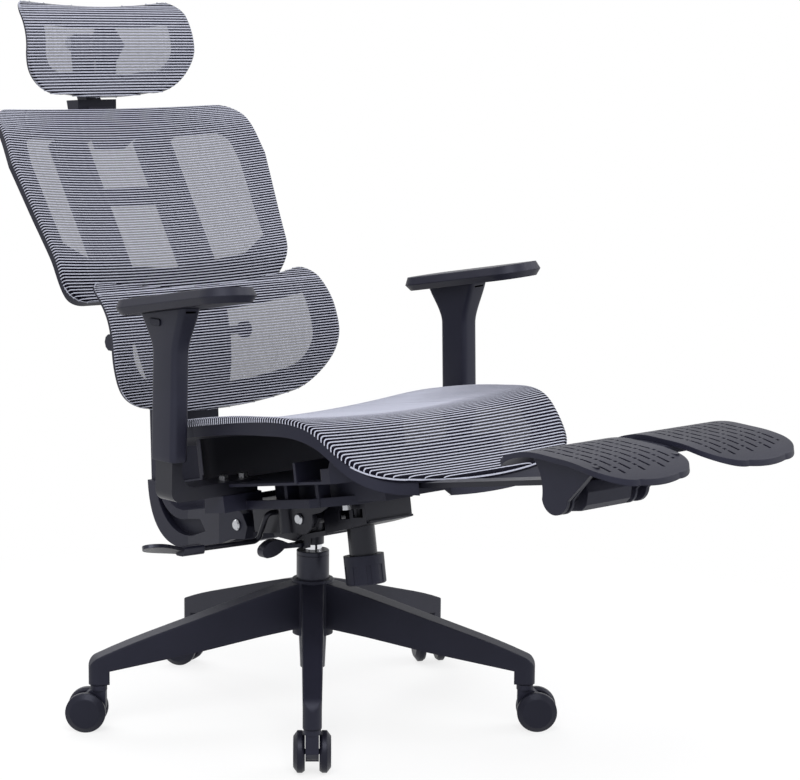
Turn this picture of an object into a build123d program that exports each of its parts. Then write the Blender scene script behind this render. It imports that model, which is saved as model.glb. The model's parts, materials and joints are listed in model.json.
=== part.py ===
from build123d import *
from math import cos, radians, sin
import os

os.makedirs("parts", exist_ok=True)

# ---------------------------------------------------------------- driving dimensions
# Millimetres and degrees. The origin is on the floor under the gas lift, +Z is up and the sitter
# faces -Y, so the sitter's right hand is at -X. The chair stands as photographed: reclined, lift
# down, footrest pulled out.
caster_circle = 335.0
first_arm_angle = 229.8
hub_radius = 31.0
hub_bottom = 122.0
hub_top = 208.0
arm_tip_height = 112.0
sleeve_bottom = 70.0
column_top = 252.0
column_bottom = 69.0
lift_radius = 14.0
running_gap = 0.08

wheel_radius = 30.0
wheel_width = 16.5
fork_width = 19.0
caster_trail = 18.0
axle_radius = 4.0
stem_radius = 5.5

seat_tilt = 9.5
main_pin_y = -64.0
main_pin_z = 320.0
rear_pin_v = 152.4
rear_pin_w = -7.9
pin_radius = 6.0
housing_half = 80.0
tension_v = -43.0
lever_pivot_z = 267.5

lever_rod = 4.0
lever_v = 57.0
lever_w = 10.6
seat_bolt_places = [(-58, -84), (58, -84), (-58, 72), (58, 72)]
seat_half = 245.0
mesh_thickness = 3.0
rim_thickness = 24.0
layer_gap = 0.4

back_lean = 32.4
back_foot_y = 330.0
back_foot_z = 620.0
lumbar_lean = 12.0
lumbar_foot_y = 205.0
lumbar_foot_z = 450.0
lumbar_shaft_y = 333.0
lumbar_shaft_z = 547.0
lumbar_arm_half = 17.0
head_foot_y = 505.0
head_foot_z = 922.0
head_pivot_y = 598.0
head_pivot_z = 1010.0

arm_post_x = 288.0
arm_post_y = -20.0
arm_base_z = 376.0
arm_lean = 1.5
pad_slope = 9.5
pad_roll = 3.2

bar_x = -100.0
bar_wide = 42.0
bar_low = 45.0
bar_thick = 7.2
foot_hinge_v = -632.0
foot_hinge_w = 35.0
foot_pad_width = 173.0
foot_pad_gap = 36.0


# ---------------------------------------------------------------- shared construction
def tilted_frame(y, z, angle):
    """A frame at (0, y, z) whose up axis leans back by the angle."""
    up = (0, sin(radians(angle)), cos(radians(angle)))
    return Plane(origin=(0, y, z), x_dir=(1, 0, 0), z_dir=up)


def side(frame, x):
    """The frame's side plane at x: its own x runs back, its own y runs up."""
    return Plane(
        origin=frame.from_local_coords((x, 0, 0)), x_dir=frame.y_dir, z_dir=frame.x_dir
    )


def face_on(frame, y):
    """The frame's front plane at y: its own x runs right to left of the sitter, its own y runs up."""
    return Plane(
        origin=frame.from_local_coords((0, y, 0)), x_dir=frame.x_dir, z_dir=-frame.y_dir
    )


def dished_slab(frame, stations, half, start, thickness):
    """A slab whose front is dished across and follows the stations (height, edge, dish) upwards."""
    with BuildPart() as slab:
        for height, edge, dish in stations:
            with BuildSketch(frame.offset(height)):
                with BuildLine():
                    near = edge + start
                    far = near + thickness
                    ThreePointArc((-half, near), (0, near + dish), (half, near))
                    Line((half, near), (half, far))
                    ThreePointArc((half, far), (0, far + dish), (-half, far))
                    Line((-half, far), (-half, near))
                make_face()
        loft()
    return slab.part


def seat_slab(stations, half, start, thickness):
    """A slab under the seat's surface, whose stations are (v, edge height, sag)."""
    with BuildPart() as slab:
        for v, edge, sag in stations:
            with BuildSketch(face_on(mech, v)):
                with BuildLine():
                    top = edge - start
                    low = top - thickness
                    ThreePointArc((-half, top), (0, top - sag), (half, top))
                    Line((half, top), (half, low))
                    ThreePointArc((half, low), (0, low - sag), (-half, low))
                    Line((-half, low), (-half, top))
                make_face()
        loft()
    return slab.part


mech = tilted_frame(main_pin_y, main_pin_z, seat_tilt)
back = tilted_frame(back_foot_y, back_foot_z, back_lean)
lumbar = tilted_frame(lumbar_foot_y, lumbar_foot_z, lumbar_lean)
head = tilted_frame(head_foot_y, head_foot_z, 0)
arm_angles = [first_arm_angle + 72 * n for n in range(5)]

# ---------------------------------------------------------------- star base
# One arm along +X: a channel that is open below, tapering to the caster sleeve, with cross ribs.
arm_root_half = 17.5
arm_tip_half = 13.5
arm_wall = 3.5
tip_reach = caster_circle + 15
arm_top = [(0, hub_top), (34, 202), (90, 188), (200, 156), (300, 126)]

with BuildPart() as base_arm:
    with BuildSketch(Plane.XZ):
        with BuildLine():
            crest = Spline(arm_top + [(tip_reach - 14, arm_tip_height + 1)])
            knee = TangentArc(crest @ 1, (tip_reach, arm_tip_height - 16), tangent=crest % 1)
            Polyline(
                knee @ 1,
                (tip_reach, sleeve_bottom),
                (caster_circle - 13.5, sleeve_bottom),
                (caster_circle - 13.5, 90),
                (190, 108),
                (90, 125),
                (34, 133),
                (0, 133),
                (0, hub_top),
            )
        make_face()
    extrude(amount=arm_root_half, both=True)
    with BuildSketch(Plane.XY.offset(60)):
        with BuildLine():
            near = Polyline(
                (caster_circle, -arm_tip_half), (160, -arm_tip_half - 2), (0, -arm_root_half)
            )
            Polyline(near @ 1, (0, arm_root_half))
            Polyline((0, arm_root_half), (160, arm_tip_half + 2), (caster_circle, arm_tip_half))
            ThreePointArc(
                (caster_circle, arm_tip_half), (tip_reach, 0), (caster_circle, -arm_tip_half)
            )
        make_face()
    extrude(amount=160, mode=Mode.INTERSECT)
    # The channel from below, left in three bays by its cross ribs.
    bays = [(44, 116), (120, 204), (208, 300)]
    for start, end in bays:
        with BuildSketch(Plane.XZ):
            roof_start = 192 - 0.29 * start
            roof_end = 192 - 0.29 * end
            Polygon((start, 70), (end, 70), (end, roof_end), (start, roof_start), align=None)
        extrude(amount=arm_tip_half - arm_wall, both=True, mode=Mode.SUBTRACT)

with BuildPart() as star_base:
    with BuildSketch(Plane.XY.offset(hub_bottom)):
        Circle(hub_radius)
    extrude(amount=hub_top - hub_bottom)
    with PolarLocations(0, 5, start_angle=first_arm_angle):
        add(base_arm.part)
    # The tapered socket of the gas lift, and a stem bore in each sleeve.
    with BuildSketch(Plane.XZ):
        Polygon(
            (0, 60), (21.9, 60), (21.9, 121), (25.2, hub_top + 2), (0, hub_top + 2), align=None
        )
    revolve(axis=Axis.Z, mode=Mode.SUBTRACT)
    with BuildSketch(Plane.XY.offset(sleeve_bottom)):
        with PolarLocations(caster_circle, 5, start_angle=first_arm_angle):
            Circle(stem_radius + running_gap)
    extrude(amount=32, mode=Mode.SUBTRACT)
star_base.part.label = "star_base"
export_step(star_base.part, "parts/star_base.step")

# ---------------------------------------------------------------- gas lift
with BuildPart() as column_tube:
    with BuildSketch(Plane.XZ):
        Polygon(
            (6, column_bottom),
            (19, column_bottom),
            (25, hub_top),
            (25, column_top - 7),
            (23, column_top - 7),
            (17, 130),
            (17, column_bottom + 4),
            (6, column_bottom + 4),
            align=None,
        )
    revolve(axis=Axis.Z)
column_tube.part.label = "column_tube"
export_step(column_tube.part, "parts/column_tube.step")

bush_bore = lift_radius + running_gap
with BuildPart() as column_bush:
    with BuildSketch(Plane.XZ):
        Polygon(
            (bush_bore, 200),
            (19.2, 200),
            (22.6, column_top - 7),
            (22.6, column_top - 6.6),
            (25, column_top - 6.6),
            (25, column_top - 1),
            (24, column_top),
            (bush_bore, column_top),
            align=None,
        )
    revolve(axis=Axis.Z)
column_bush.part.label = "column_bush"
export_step(column_bush.part, "parts/column_bush.step")

with BuildPart() as piston_rod:
    with BuildSketch(Plane.XZ):
        Polygon(
            (0, column_bottom - 3),
            (7.5, column_bottom - 3),
            (7.5, column_bottom - 0.5),
            (5, column_bottom - 0.5),
            (5, column_bottom + 4.3),
            (13, column_bottom + 4.3),
            (13, column_bottom + 9),
            (5, column_bottom + 9),
            (5, 200),
            (11.7, 200),
            (11.7, 210),
            (0, 210),
            align=None,
        )
    revolve(axis=Axis.Z)
piston_rod.part.label = "piston_rod"
export_step(piston_rod.part, "parts/piston_rod.step")

with BuildPart() as pressure_tube:
    with BuildSketch(Plane.XZ):
        Polygon(
            (5 + running_gap, 84),
            (12.5, 84),
            (lift_radius, 86),
            (lift_radius, 296),
            (0, 296),
            (0, 288),
            (12, 288),
            (12, 92),
            (5 + running_gap, 92),
            align=None,
        )
    revolve(axis=Axis.Z)
pressure_tube.part.label = "pressure_tube"
export_step(pressure_tube.part, "parts/pressure_tube.step")

# ---------------------------------------------------------------- casters
# The trail directions are those of the photograph: two roll outwards, one stands edge on.
trail_angles = [49.8, -42.2, 60.0, 118.0, 137.8]


def caster_frame(n):
    """The swivel frame of caster n on the floor: its x is the trail, its y the wheel axle."""
    angle = radians(arm_angles[n])
    trail = radians(trail_angles[n])
    return Plane(
        origin=(caster_circle * cos(angle), caster_circle * sin(angle), 0),
        x_dir=(cos(trail), sin(trail), 0),
        z_dir=(0, 0, 1),
    )


def caster_fork(frame):
    """Stem, collar, the block between the wheels and the axle, turned from one frame."""
    profile = Plane(origin=frame.origin, x_dir=frame.x_dir, z_dir=-frame.y_dir)
    with BuildPart() as fork:
        with BuildSketch(profile):
            with BuildLine():
                Polyline((-11, 61), (-11, 34), (-2, 25), (8, 21))
                ThreePointArc((8, 21), (caster_trail + 8, 18), (caster_trail + 13, 30))
                ThreePointArc((caster_trail + 13, 30), (caster_trail + 6, 50), (12.5, 61))
                Line((12.5, 61), (-11, 61))
            make_face()
        extrude(amount=fork_width / 2, both=True)
        with BuildSketch(frame.offset(61)):
            Circle(12.5)
        extrude(amount=sleeve_bottom - 61 - 1)
        with BuildSketch(frame.offset(60)):
            Circle(stem_radius)
        extrude(amount=40)
        with BuildSketch(profile):
            with Locations((caster_trail, wheel_radius)):
                Circle(axle_radius)
        extrude(amount=fork_width / 2 + 12.5, both=True)
    return fork.part


def caster_wheel(frame, hand):
    """One of the twin wheels: a crowned tread, a domed outer face and a blind hub bore."""
    half = fork_width / 2 + 0.8
    outer = half + wheel_width
    turned = Plane(
        origin=frame.from_local_coords((caster_trail, 0, wheel_radius)),
        x_dir=frame.y_dir * hand,
        z_dir=frame.x_dir,
    )
    with BuildPart() as wheel:
        with BuildSketch(turned):
            Polygon(
                (half, axle_radius + running_gap),
                (half, 27),
                (half + 4, wheel_radius),
                (outer - 6, wheel_radius),
                (outer, 22),
                (outer, 0),
                (half + 12.5, 0),
                (half + 12.5, axle_radius + running_gap),
                align=None,
            )
        axle = Axis(turned.origin, turned.x_dir)
        revolve(axis=axle)
    return wheel.part


for n in range(5):
    name = f"caster_{n + 1}_fork"
    fork = caster_fork(caster_frame(n))
    fork.label = name
    export_step(fork, f"parts/{name}.step")
    for hand, which in ((1, "a"), (-1, "b")):
        name = f"caster_{n + 1}_wheel_{which}"
        wheel = caster_wheel(caster_frame(n), hand)
        wheel.label = name
        export_step(wheel, f"parts/{name}.step")

# ---------------------------------------------------------------- mechanism, lower body
# The cast body that sits on the lift: a socket boss, two cheeks and the barrel of the main pin.
cheek_x = 50.0
with BuildPart() as chassis:
    for x in (-cheek_x - 6, cheek_x):
        with BuildSketch(Plane.YZ.offset(x)):
            Polygon(
                (-22, 276), (24, 276), (30, 284), (30, 296), (-40, 312), (-56, 330), (-72, 330),
                (-78, 320), (-72, 306), (-44, 292), align=None,
            )
        extrude(amount=6)
    with BuildSketch(Plane.XY.offset(276)):
        Rectangle(2 * cheek_x + 12, 46)
    extrude(amount=8)
    with BuildSketch(Plane.XY.offset(262)):
        Circle(17)
    extrude(amount=40)
    # Two lugs below the plate hold the height lever's pivot.
    for y in (1, 20.4):
        with BuildSketch(Plane.XZ.offset(y)):
            with Locations((-30, 269)):
                Rectangle(12, 14)
            with Locations((-30, lever_pivot_z)):
                Circle(2.4 + running_gap, mode=Mode.SUBTRACT)
        extrude(amount=2.6)
    with BuildSketch(Plane.YZ):
        with Locations((main_pin_y, main_pin_z)):
            Circle(11)
    extrude(amount=cheek_x + 20, both=True)
    with BuildSketch(Plane.YZ):
        with Locations((main_pin_y, main_pin_z)):
            Circle(pin_radius + running_gap)
    extrude(amount=90, both=True, mode=Mode.SUBTRACT)
    with BuildSketch(Plane.XY.offset(250)):
        Circle(lift_radius + 0.05)
    extrude(amount=60, mode=Mode.SUBTRACT)
chassis.part.label = "chassis"
export_step(chassis.part, "parts/chassis.step")


def pin(v, w, half):
    """A steel pin across the mechanism with a domed head on the sitter's right."""
    with BuildPart() as shank:
        with BuildSketch(side(mech, -half)):
            with Locations((v, w)):
                Circle(pin_radius)
        extrude(amount=2 * half)
        for x in (-half - 4, half):
            with BuildSketch(side(mech, x)):
                with Locations((v, w)):
                    Circle(8.5)
            extrude(amount=4)
        chamfer(shank.edges().filter_by(GeomType.CIRCLE).group_by(Axis.X)[0], 2)
    return shank.part


main_pin = pin(0, 0, housing_half + 0.2)
main_pin.label = "main_pin"
export_step(main_pin, "parts/main_pin.step")
rear_pin = pin(rear_pin_v, rear_pin_w, housing_half + 0.2)
rear_pin.label = "rear_pin"
export_step(rear_pin, "parts/rear_pin.step")

# ---------------------------------------------------------------- mechanism, tilting housing
# Pressed steel: a top plate, two side walls that step in at the back for the ears of the back
# bracket, a spring box at the front and a round bulge over the lift on each wall.
wall = 3.0
rear_half = 62.0
with BuildPart() as tilt_housing:
    with BuildSketch(mech.offset(17)):
        with BuildLine():
            Polyline((-80, 112), (-80, -70), (-50, -114), (50, -114), (80, -70), (80, 112))
            Polyline((80, 112), (rear_half, 124), (rear_half, 168), (-rear_half, 168))
            Polyline((-rear_half, 168), (-rear_half, 124), (-80, 112))
        make_face()
    extrude(amount=3)
    for x in (-housing_half, housing_half - wall):
        with BuildSketch(side(mech, x)):
            with BuildLine():
                Polyline((110, 17), (110, -17), (100, -21), (8, -21))
                ThreePointArc((8, -21), (-22, -16), (-30, 6))
                Polyline((-30, 6), (-50, 9), (-69, 17), (110, 17))
            make_face()
        extrude(amount=wall)
    for x in (-rear_half, rear_half - wall):
        with BuildSketch(side(mech, x)):
            Polygon(
                (104, 17), (104, -17), (140, -22), (164, -18), (168, -8), (168, 17), align=None
            )
        extrude(amount=wall)
    for x in (-housing_half, rear_half - wall):
        with BuildSketch(side(mech, x)):
            Polygon((104, 17), (104, -17), (108, -17), (108, 17), align=None)
        extrude(amount=housing_half - rear_half + wall)
    # The spring box under the front of the plate, open at its sides.
    for x in (-45, 42):
        with BuildSketch(side(mech, x)):
            Polygon((-14, 17), (-14, -27), (-70, -20), (-110, -13), (-110, 17), align=None)
            with Locations((-62, 1), (-92, 3)):
                Rectangle(22, 13, mode=Mode.SUBTRACT)
        extrude(amount=3)
    with BuildSketch(side(mech, -42)):
        Polygon((-16, -23.6), (-16, -26.6), (-70, -20), (-116, -12), (-116, -9), (-70, -17),
                align=None)
    extrude(amount=84)
    with BuildSketch(side(mech, -45)):
        Polygon((-107, 17), (-107, -12), (-110, -12), (-110, 17), align=None)
    extrude(amount=90)
    # Round bulges beside the lift.
    with BuildSketch(mech.offset(-20.5)):
        with Locations((-housing_half + 1, 32), (housing_half - 1, 32)):
            Circle(11)
    extrude(amount=37.5)
    with BuildSketch(mech.offset(-22)):
        with Locations((0, 32)):
            Rectangle(2 * (housing_half - wall), 30)
    extrude(amount=39, mode=Mode.SUBTRACT)
    with BuildSketch(side(mech, -100)):
        with Locations((0, 0), (rear_pin_v, rear_pin_w)):
            Circle(pin_radius + running_gap)
    extrude(amount=200, mode=Mode.SUBTRACT)
    with BuildSketch(mech.offset(-30)):
        with Locations((0, tension_v)):
            Circle(21.3)
    extrude(amount=16, mode=Mode.SUBTRACT)
    with BuildSketch(side(mech, -100)):
        with Locations((lever_v, lever_w)):
            Circle(lever_rod + running_gap)
    extrude(amount=40, mode=Mode.SUBTRACT)
    with BuildSketch(mech.offset(10)):
        with Locations(*seat_bolt_places):
            Circle(4.2)
    extrude(amount=20, mode=Mode.SUBTRACT)
tilt_housing.part.label = "tilt_housing"
export_step(tilt_housing.part, "parts/tilt_housing.step")

# ---------------------------------------------------------------- tension spring tube and knob
with BuildPart() as tension_tube:
    with BuildSketch(mech.offset(-74)):
        with Locations((0, tension_v)):
            Circle(21)
            Circle(19, mode=Mode.SUBTRACT)
    extrude(amount=88)
    with BuildSketch(mech.offset(10)):
        with Locations((0, tension_v)):
            Circle(19)
    extrude(amount=4)
    with BuildSketch(mech.offset(-102)):
        with Locations((0, tension_v)):
            Circle(7)
    extrude(amount=112)
tension_tube.part.label = "tension_tube"
export_step(tension_tube.part, "parts/tension_tube.step")

with BuildPart() as tension_knob:
    with BuildSketch(mech.offset(-64)):
        with Locations((0, tension_v)):
            Circle(30.5)
    extrude(amount=-44)
    chamfer(tension_knob.edges().group_by(Axis.Z)[0], 2)
    with BuildSketch(mech.offset(-75)):
        with Locations((0, tension_v)):
            Circle(21.4)
    extrude(amount=12, mode=Mode.SUBTRACT)
    with BuildSketch(mech.offset(-102.4)):
        with Locations((0, tension_v)):
            Circle(7 + running_gap)
    extrude(amount=40, mode=Mode.SUBTRACT)
    # Shallow grip flutes.
    with BuildSketch(mech.offset(-109)):
        with Locations((0, tension_v)):
            with PolarLocations(31.4, 9):
                Rectangle(4, 7)
    extrude(amount=30, mode=Mode.SUBTRACT)
tension_knob.part.label = "tension_knob"
export_step(tension_knob.part, "parts/tension_knob.step")

# ---------------------------------------------------------------- levers
# Height lever: a short arm out of the lift's socket with a hanging, drop shaped finger tab.
with BuildPart() as height_lever:
    with BuildSketch(Plane.XZ.offset(12 - 7)):
        with BuildLine():
            Polyline((-22, 262), (-22, 270), (-52, 270), (-60, 272), (-74, 278.5))
            ThreePointArc((-74, 278.5), (-96, 280.5), (-110, 273))
            ThreePointArc((-110, 273), (-112, 261), (-102, 256))
            ThreePointArc((-102, 256), (-84, 259), (-72, 266))
            Polyline((-72, 266), (-56, 265), (-22, 262))
        make_face()
    extrude(amount=14)
    with BuildSketch(Plane.XZ.offset(1)):
        with Locations((-30, lever_pivot_z)):
            Circle(2.4)
    extrude(amount=22)
height_lever.part.label = "height_lever"
export_step(height_lever.part, "parts/height_lever.step")

# Tilt lever: a bent steel rod that turns in the housing's wall and ends in a flat leaf.
lever_path = [(-66, -6, 321), (-95, -6, 321), (-93, 18, 275), (-252, -10, 287)]
with BuildPart() as tilt_lever_rod:
    with BuildLine() as bent:
        FilletPolyline(*lever_path, radius=9)
    with BuildSketch(Plane(origin=bent.line @ 0, z_dir=bent.line % 0)):
        Circle(lever_rod)
    sweep()
tilt_lever_rod.part.label = "tilt_lever_rod"
export_step(tilt_lever_rod.part, "parts/tilt_lever_rod.step")

rod_run = Vector(-159, -28, 12).normalized()
leaf_frame = Plane(
    origin=(-252, -10, 287), x_dir=rod_run, z_dir=rod_run.cross(Vector(0, 0, 1)).cross(rod_run)
)
with BuildPart() as tilt_lever_leaf:
    with BuildSketch(Plane(origin=leaf_frame.from_local_coords((-34, 0, 0)),
                           x_dir=leaf_frame.y_dir, z_dir=leaf_frame.x_dir)):
        RectangleRounded(17, 14, 4)
    extrude(amount=44)
    leaf_plane = Plane(
        origin=leaf_frame.from_local_coords((8, 0, -2)),
        x_dir=(leaf_frame.x_dir + leaf_frame.z_dir * 0.16).normalized(),
        z_dir=(leaf_frame.z_dir - leaf_frame.x_dir * 0.16 - leaf_frame.y_dir * 0.35).normalized(),
    )
    with BuildSketch(leaf_plane):
        with BuildLine():
            Polyline((-16, -7), (4, -11))
            Spline([(4, -11), (40, -17), (68, -13), (78, 2), (66, 15), (40, 17), (4, 9)])
            Polyline((4, 9), (-16, 7), (-16, -7))
        make_face()
    extrude(amount=5.5)
    with BuildSketch(Plane(origin=leaf_frame.from_local_coords((-40, 0, 0)),
                           x_dir=leaf_frame.y_dir, z_dir=leaf_frame.x_dir)):
        Circle(lever_rod + 0.02)
    extrude(amount=40.02, mode=Mode.SUBTRACT)
tilt_lever_leaf.part.label = "tilt_lever_leaf"
export_step(tilt_lever_leaf.part, "parts/tilt_lever_leaf.step")

# ---------------------------------------------------------------- seat plate
# The moulded plate bolted on the mechanism: a flanged floor, a guide for the footrest's slide bar
# and its twin on the other side, ribs and a pedestal on each side for the foot of the armrest.
plate_low = 25.0
plate_floor = 30.0
shell_floor = 62.0


def at_mech(y, z):
    """World y and z as (v, w) on the mechanism's side plane."""
    point = mech.to_local_coords(Vector(0, y, z))
    return (point.Y, point.Z)


arm_front_y = arm_post_y - 21
arm_back_y = arm_post_y + 21
arm_foot_z = 366.5
with BuildPart() as seat_plate:
    with BuildSketch(mech.offset(plate_low)):
        with BuildLine():
            Polyline((-120, 128), (120, 128), (165, 96), (165, -130), (122, -190), (-122, -190))
            Polyline((-122, -190), (-165, -130), (-165, 96), (-120, 128))
        make_face()
    extrude(amount=13)
    with BuildSketch(mech.offset(plate_floor)):
        with BuildLine():
            Polyline((-118, 124), (118, 124), (161, 94), (161, -129), (120, -186), (-120, -186))
            Polyline((-120, -186), (-161, -129), (-161, 94), (-118, 124))
        make_face()
    extrude(amount=20, mode=Mode.SUBTRACT)
    with BuildSketch(mech.offset(20.2)):
        with Locations(*seat_bolt_places):
            Circle(11)
    extrude(amount=plate_floor - 20.2)
    with BuildSketch(mech.offset(plate_floor - 1)):
        with Locations((bar_x, -128), (-bar_x, -128)):
            Rectangle(bar_wide + 8, 244)
    extrude(amount=shell_floor - plate_floor + 1)
    with BuildSketch(mech.offset(plate_low)):
        for v in (-140, -70, 100):
            with Locations((-146, v), (146, v)):
                Rectangle(22, 7)
    extrude(amount=shell_floor - plate_low)
    for x in (-206, 134):
        with BuildSketch(side(mech, x)):
            front_low = at_mech(arm_front_y, arm_foot_z - 16)
            back_low = at_mech(arm_back_y, arm_foot_z - 16)
            Polygon(
                (front_low[0] - 4, plate_low),
                (back_low[0] + 4, plate_low),
                at_mech(arm_back_y, arm_foot_z - 0.2),
                at_mech(arm_front_y, arm_foot_z - 0.2),
                align=None,
            )
        extrude(amount=72)
    with BuildSketch(face_on(mech, 30)):
        with Locations((bar_x, bar_low + bar_thick / 2)):
            Rectangle(bar_wide + 0.6, bar_thick + 0.6)
    extrude(amount=300, mode=Mode.SUBTRACT)
    with BuildSketch(mech.offset(0)):
        with Locations(*seat_bolt_places):
            Circle(4.2)
    extrude(amount=40, mode=Mode.SUBTRACT)
    with BuildSketch(Plane.XY.offset(300)):
        for x in (-188, -152, 152, 188):
            with Locations((x, arm_post_y)):
                Circle(4.2)
    extrude(amount=80, mode=Mode.SUBTRACT)
seat_plate.part.label = "seat_plate"
export_step(seat_plate.part, "parts/seat_plate.step")

with BuildPart() as seat_bolts:
    with BuildSketch(mech.offset(9.8)):
        with Locations(*seat_bolt_places):
            RegularPolygon(7.5, 6)
    extrude(amount=7)
    with BuildSketch(mech.offset(16.8)):
        with Locations(*seat_bolt_places):
            Circle(4)
    extrude(amount=14)
seat_bolts.part.label = "seat_bolts"
export_step(seat_bolts.part, "parts/seat_bolts.step")

# ---------------------------------------------------------------- seat shell
seat_stations = [
    (152, 150, 8),
    (110, 161, 12),
    (50, 167, 16),
    (-20, 169, 18),
    (-90, 168, 18),
    (-150, 164, 15),
    (-206, 156, 11),
    (-240, 138, 8),
    (-266, 111, 6),
    (-292, 86, 5),
    (-318, 68, 4),
    (-346, 53, 4),
]


def seat_outline(inset):
    """The seat's plan, moved inwards by the inset."""
    with BuildSketch() as plan:
        with BuildLine():
            ThreePointArc((-150, 138), (0, 145), (150, 138))
            ThreePointArc((150, 138), (222, 100), (seat_half, 20))
            Line((seat_half, 20), (seat_half, -130))
            ThreePointArc((seat_half, -130), (240, -203), (222, -262))
            ThreePointArc((222, -262), (194, -298), (140, -320))
            ThreePointArc((140, -320), (0, -337), (-140, -320))
            ThreePointArc((-140, -320), (-194, -298), (-222, -262))
            ThreePointArc((-222, -262), (-240, -203), (-seat_half, -130))
            Line((-seat_half, -130), (-seat_half, 20))
            ThreePointArc((-seat_half, 20), (-222, 100), (-150, 138))
        make_face()
        if inset:
            offset(amount=-inset, mode=Mode.REPLACE)
    return plan.sketch


def seat_walls(inset, low, front_low):
    """The shell's side shape between its underside and above the seat, cut to the plan."""
    with BuildPart() as walls:
        with BuildSketch(side(mech, -200)):
            grow = inset - 42
            Polygon(
                (128 - grow, 190),
                (122 - grow, low),
                (-232, low),
                (-300 + grow, front_low),
                (-300 + grow, 190),
                align=None,
            )
        extrude(amount=400)
        with BuildSketch(mech):
            add(seat_outline(inset))
        extrude(amount=240, mode=Mode.INTERSECT)
    return walls.part


seat_mesh_slab = seat_slab(seat_stations, 250, 0, mesh_thickness)
with BuildPart() as seat_mesh:
    with BuildSketch(mech):
        add(seat_outline(0))
    extrude(amount=240)
    add(seat_mesh_slab, mode=Mode.INTERSECT)
seat_mesh.part.label = "seat_mesh"
export_step(seat_mesh.part, "parts/seat_mesh.step")

rim_start = mesh_thickness + layer_gap
rim_slab = seat_slab(seat_stations, 250, rim_start, rim_thickness)
above_rim = seat_slab(seat_stations, 250, rim_start - 220, 220 + 6)
with BuildPart() as seat_rim:
    with BuildSketch(mech):
        add(seat_outline(2))
        add(seat_outline(36), mode=Mode.SUBTRACT)
    extrude(amount=240)
    add(rim_slab, mode=Mode.INTERSECT)
with BuildPart() as seat_shell:
    add(seat_walls(34, 62, 66))
    add(seat_walls(39, 66, 70), mode=Mode.SUBTRACT)
    add(above_rim, mode=Mode.SUBTRACT)
    add(seat_rim.part)
    # The window in each side wall.
    with BuildSketch(side(mech, -230)):
        Polygon(
            (-52, 88), (-52, 128), (-150, 128), (-205, 117), (-228, 100), (-222, 84), (-150, 82),
            align=None,
        )
    extrude(amount=460, mode=Mode.SUBTRACT)
    # Room for the slide bar under the front rim, and for the feet of the armrests.
    with BuildSketch(mech.offset(30)):
        with Locations((bar_x, -270)):
            Rectangle(bar_wide + 8, 160)
    extrude(amount=bar_low + bar_thick + 1 - 30, mode=Mode.SUBTRACT)
    with BuildSketch(mech.offset(60)):
        with Locations((-185, 36), (185, 36)):
            Rectangle(110, 62)
    extrude(amount=21, mode=Mode.SUBTRACT)
    # A stiffening rib across the front of the shell, and one down each side wall.
    with BuildSketch(mech.offset(64)):
        with Locations((0, -150)):
            Rectangle(404, 5)
    extrude(amount=30)
seat_shell.part.label = "seat_shell"
export_step(seat_shell.part, "parts/seat_shell.step")

# ---------------------------------------------------------------- back bracket and spine
with BuildPart() as back_bracket:
    with BuildSketch(Plane.YZ.offset(-housing_half)):
        with BuildLine():
            Polyline((98, 318), (72, 306), (60, 288), (66, 268), (100, 262), (170, 233))
            Spline([(170, 233), (212, 222), (256, 221), (290, 229), (318, 252), (333, 284),
                    (338.6, 318)])
            Polyline((338.6, 318), (300, 318))
            ThreePointArc((300, 318), (276, 290), (236, 284))
            Polyline((236, 284), (180, 296), (130, 316), (98, 318))
        make_face()
    extrude(amount=2 * housing_half)
    with BuildSketch(Plane.XY.offset(200)):
        with BuildLine():
            Polyline((-80, 50), (80, 50), (80, 130), (64, 230), (62, 350), (-62, 350))
            Polyline((-62, 350), (-64, 230), (-80, 130), (-80, 50))
        make_face()
    extrude(amount=140, mode=Mode.INTERSECT)
    # The fork's slot for the housing, and the recessed cheek on each side.
    with BuildSketch(Plane.XY.offset(200)):
        with Locations((0, 100)):
            Rectangle(2 * rear_half + 3, 126)
    extrude(amount=140, mode=Mode.SUBTRACT)
    for hand in (-1, 1):
        with BuildSketch(Plane.YZ.offset(hand * 50)):
            with BuildLine():
                Polyline((172, 262), (212, 248))
                ThreePointArc((212, 248), (288, 262), (314, 306))
                Line((314, 306), (308, 306))
                ThreePointArc((308, 306), (282, 276), (236, 270))
                Polyline((236, 270), (190, 278), (172, 262))
            make_face()
        extrude(amount=hand * 40, mode=Mode.SUBTRACT)
    with BuildSketch(Plane.YZ.offset(-45)):
        with BuildLine():
            Polyline((172, 262), (212, 248))
            ThreePointArc((212, 248), (288, 262), (314, 306))
            Line((314, 306), (308, 306))
            ThreePointArc((308, 306), (282, 276), (236, 270))
            Polyline((236, 270), (190, 278), (172, 262))
        make_face()
    extrude(amount=90)
    with BuildSketch(side(mech, -100)):
        with Locations((rear_pin_v, rear_pin_w)):
            Circle(pin_radius + running_gap)
    extrude(amount=200, mode=Mode.SUBTRACT)
back_bracket.part.label = "back_bracket"
export_step(back_bracket.part, "parts/back_bracket.step")

spine_flat = 318.0
tongue_near = 35.5
tongue_far = 44.0
tongue_x = 78.0


def at_world(frame, y, z):
    """A point (y, z) of a tilted frame as world y and z."""
    point = frame.from_local_coords(Vector(0, y, z))
    return (point.Y, point.Z)


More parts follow.
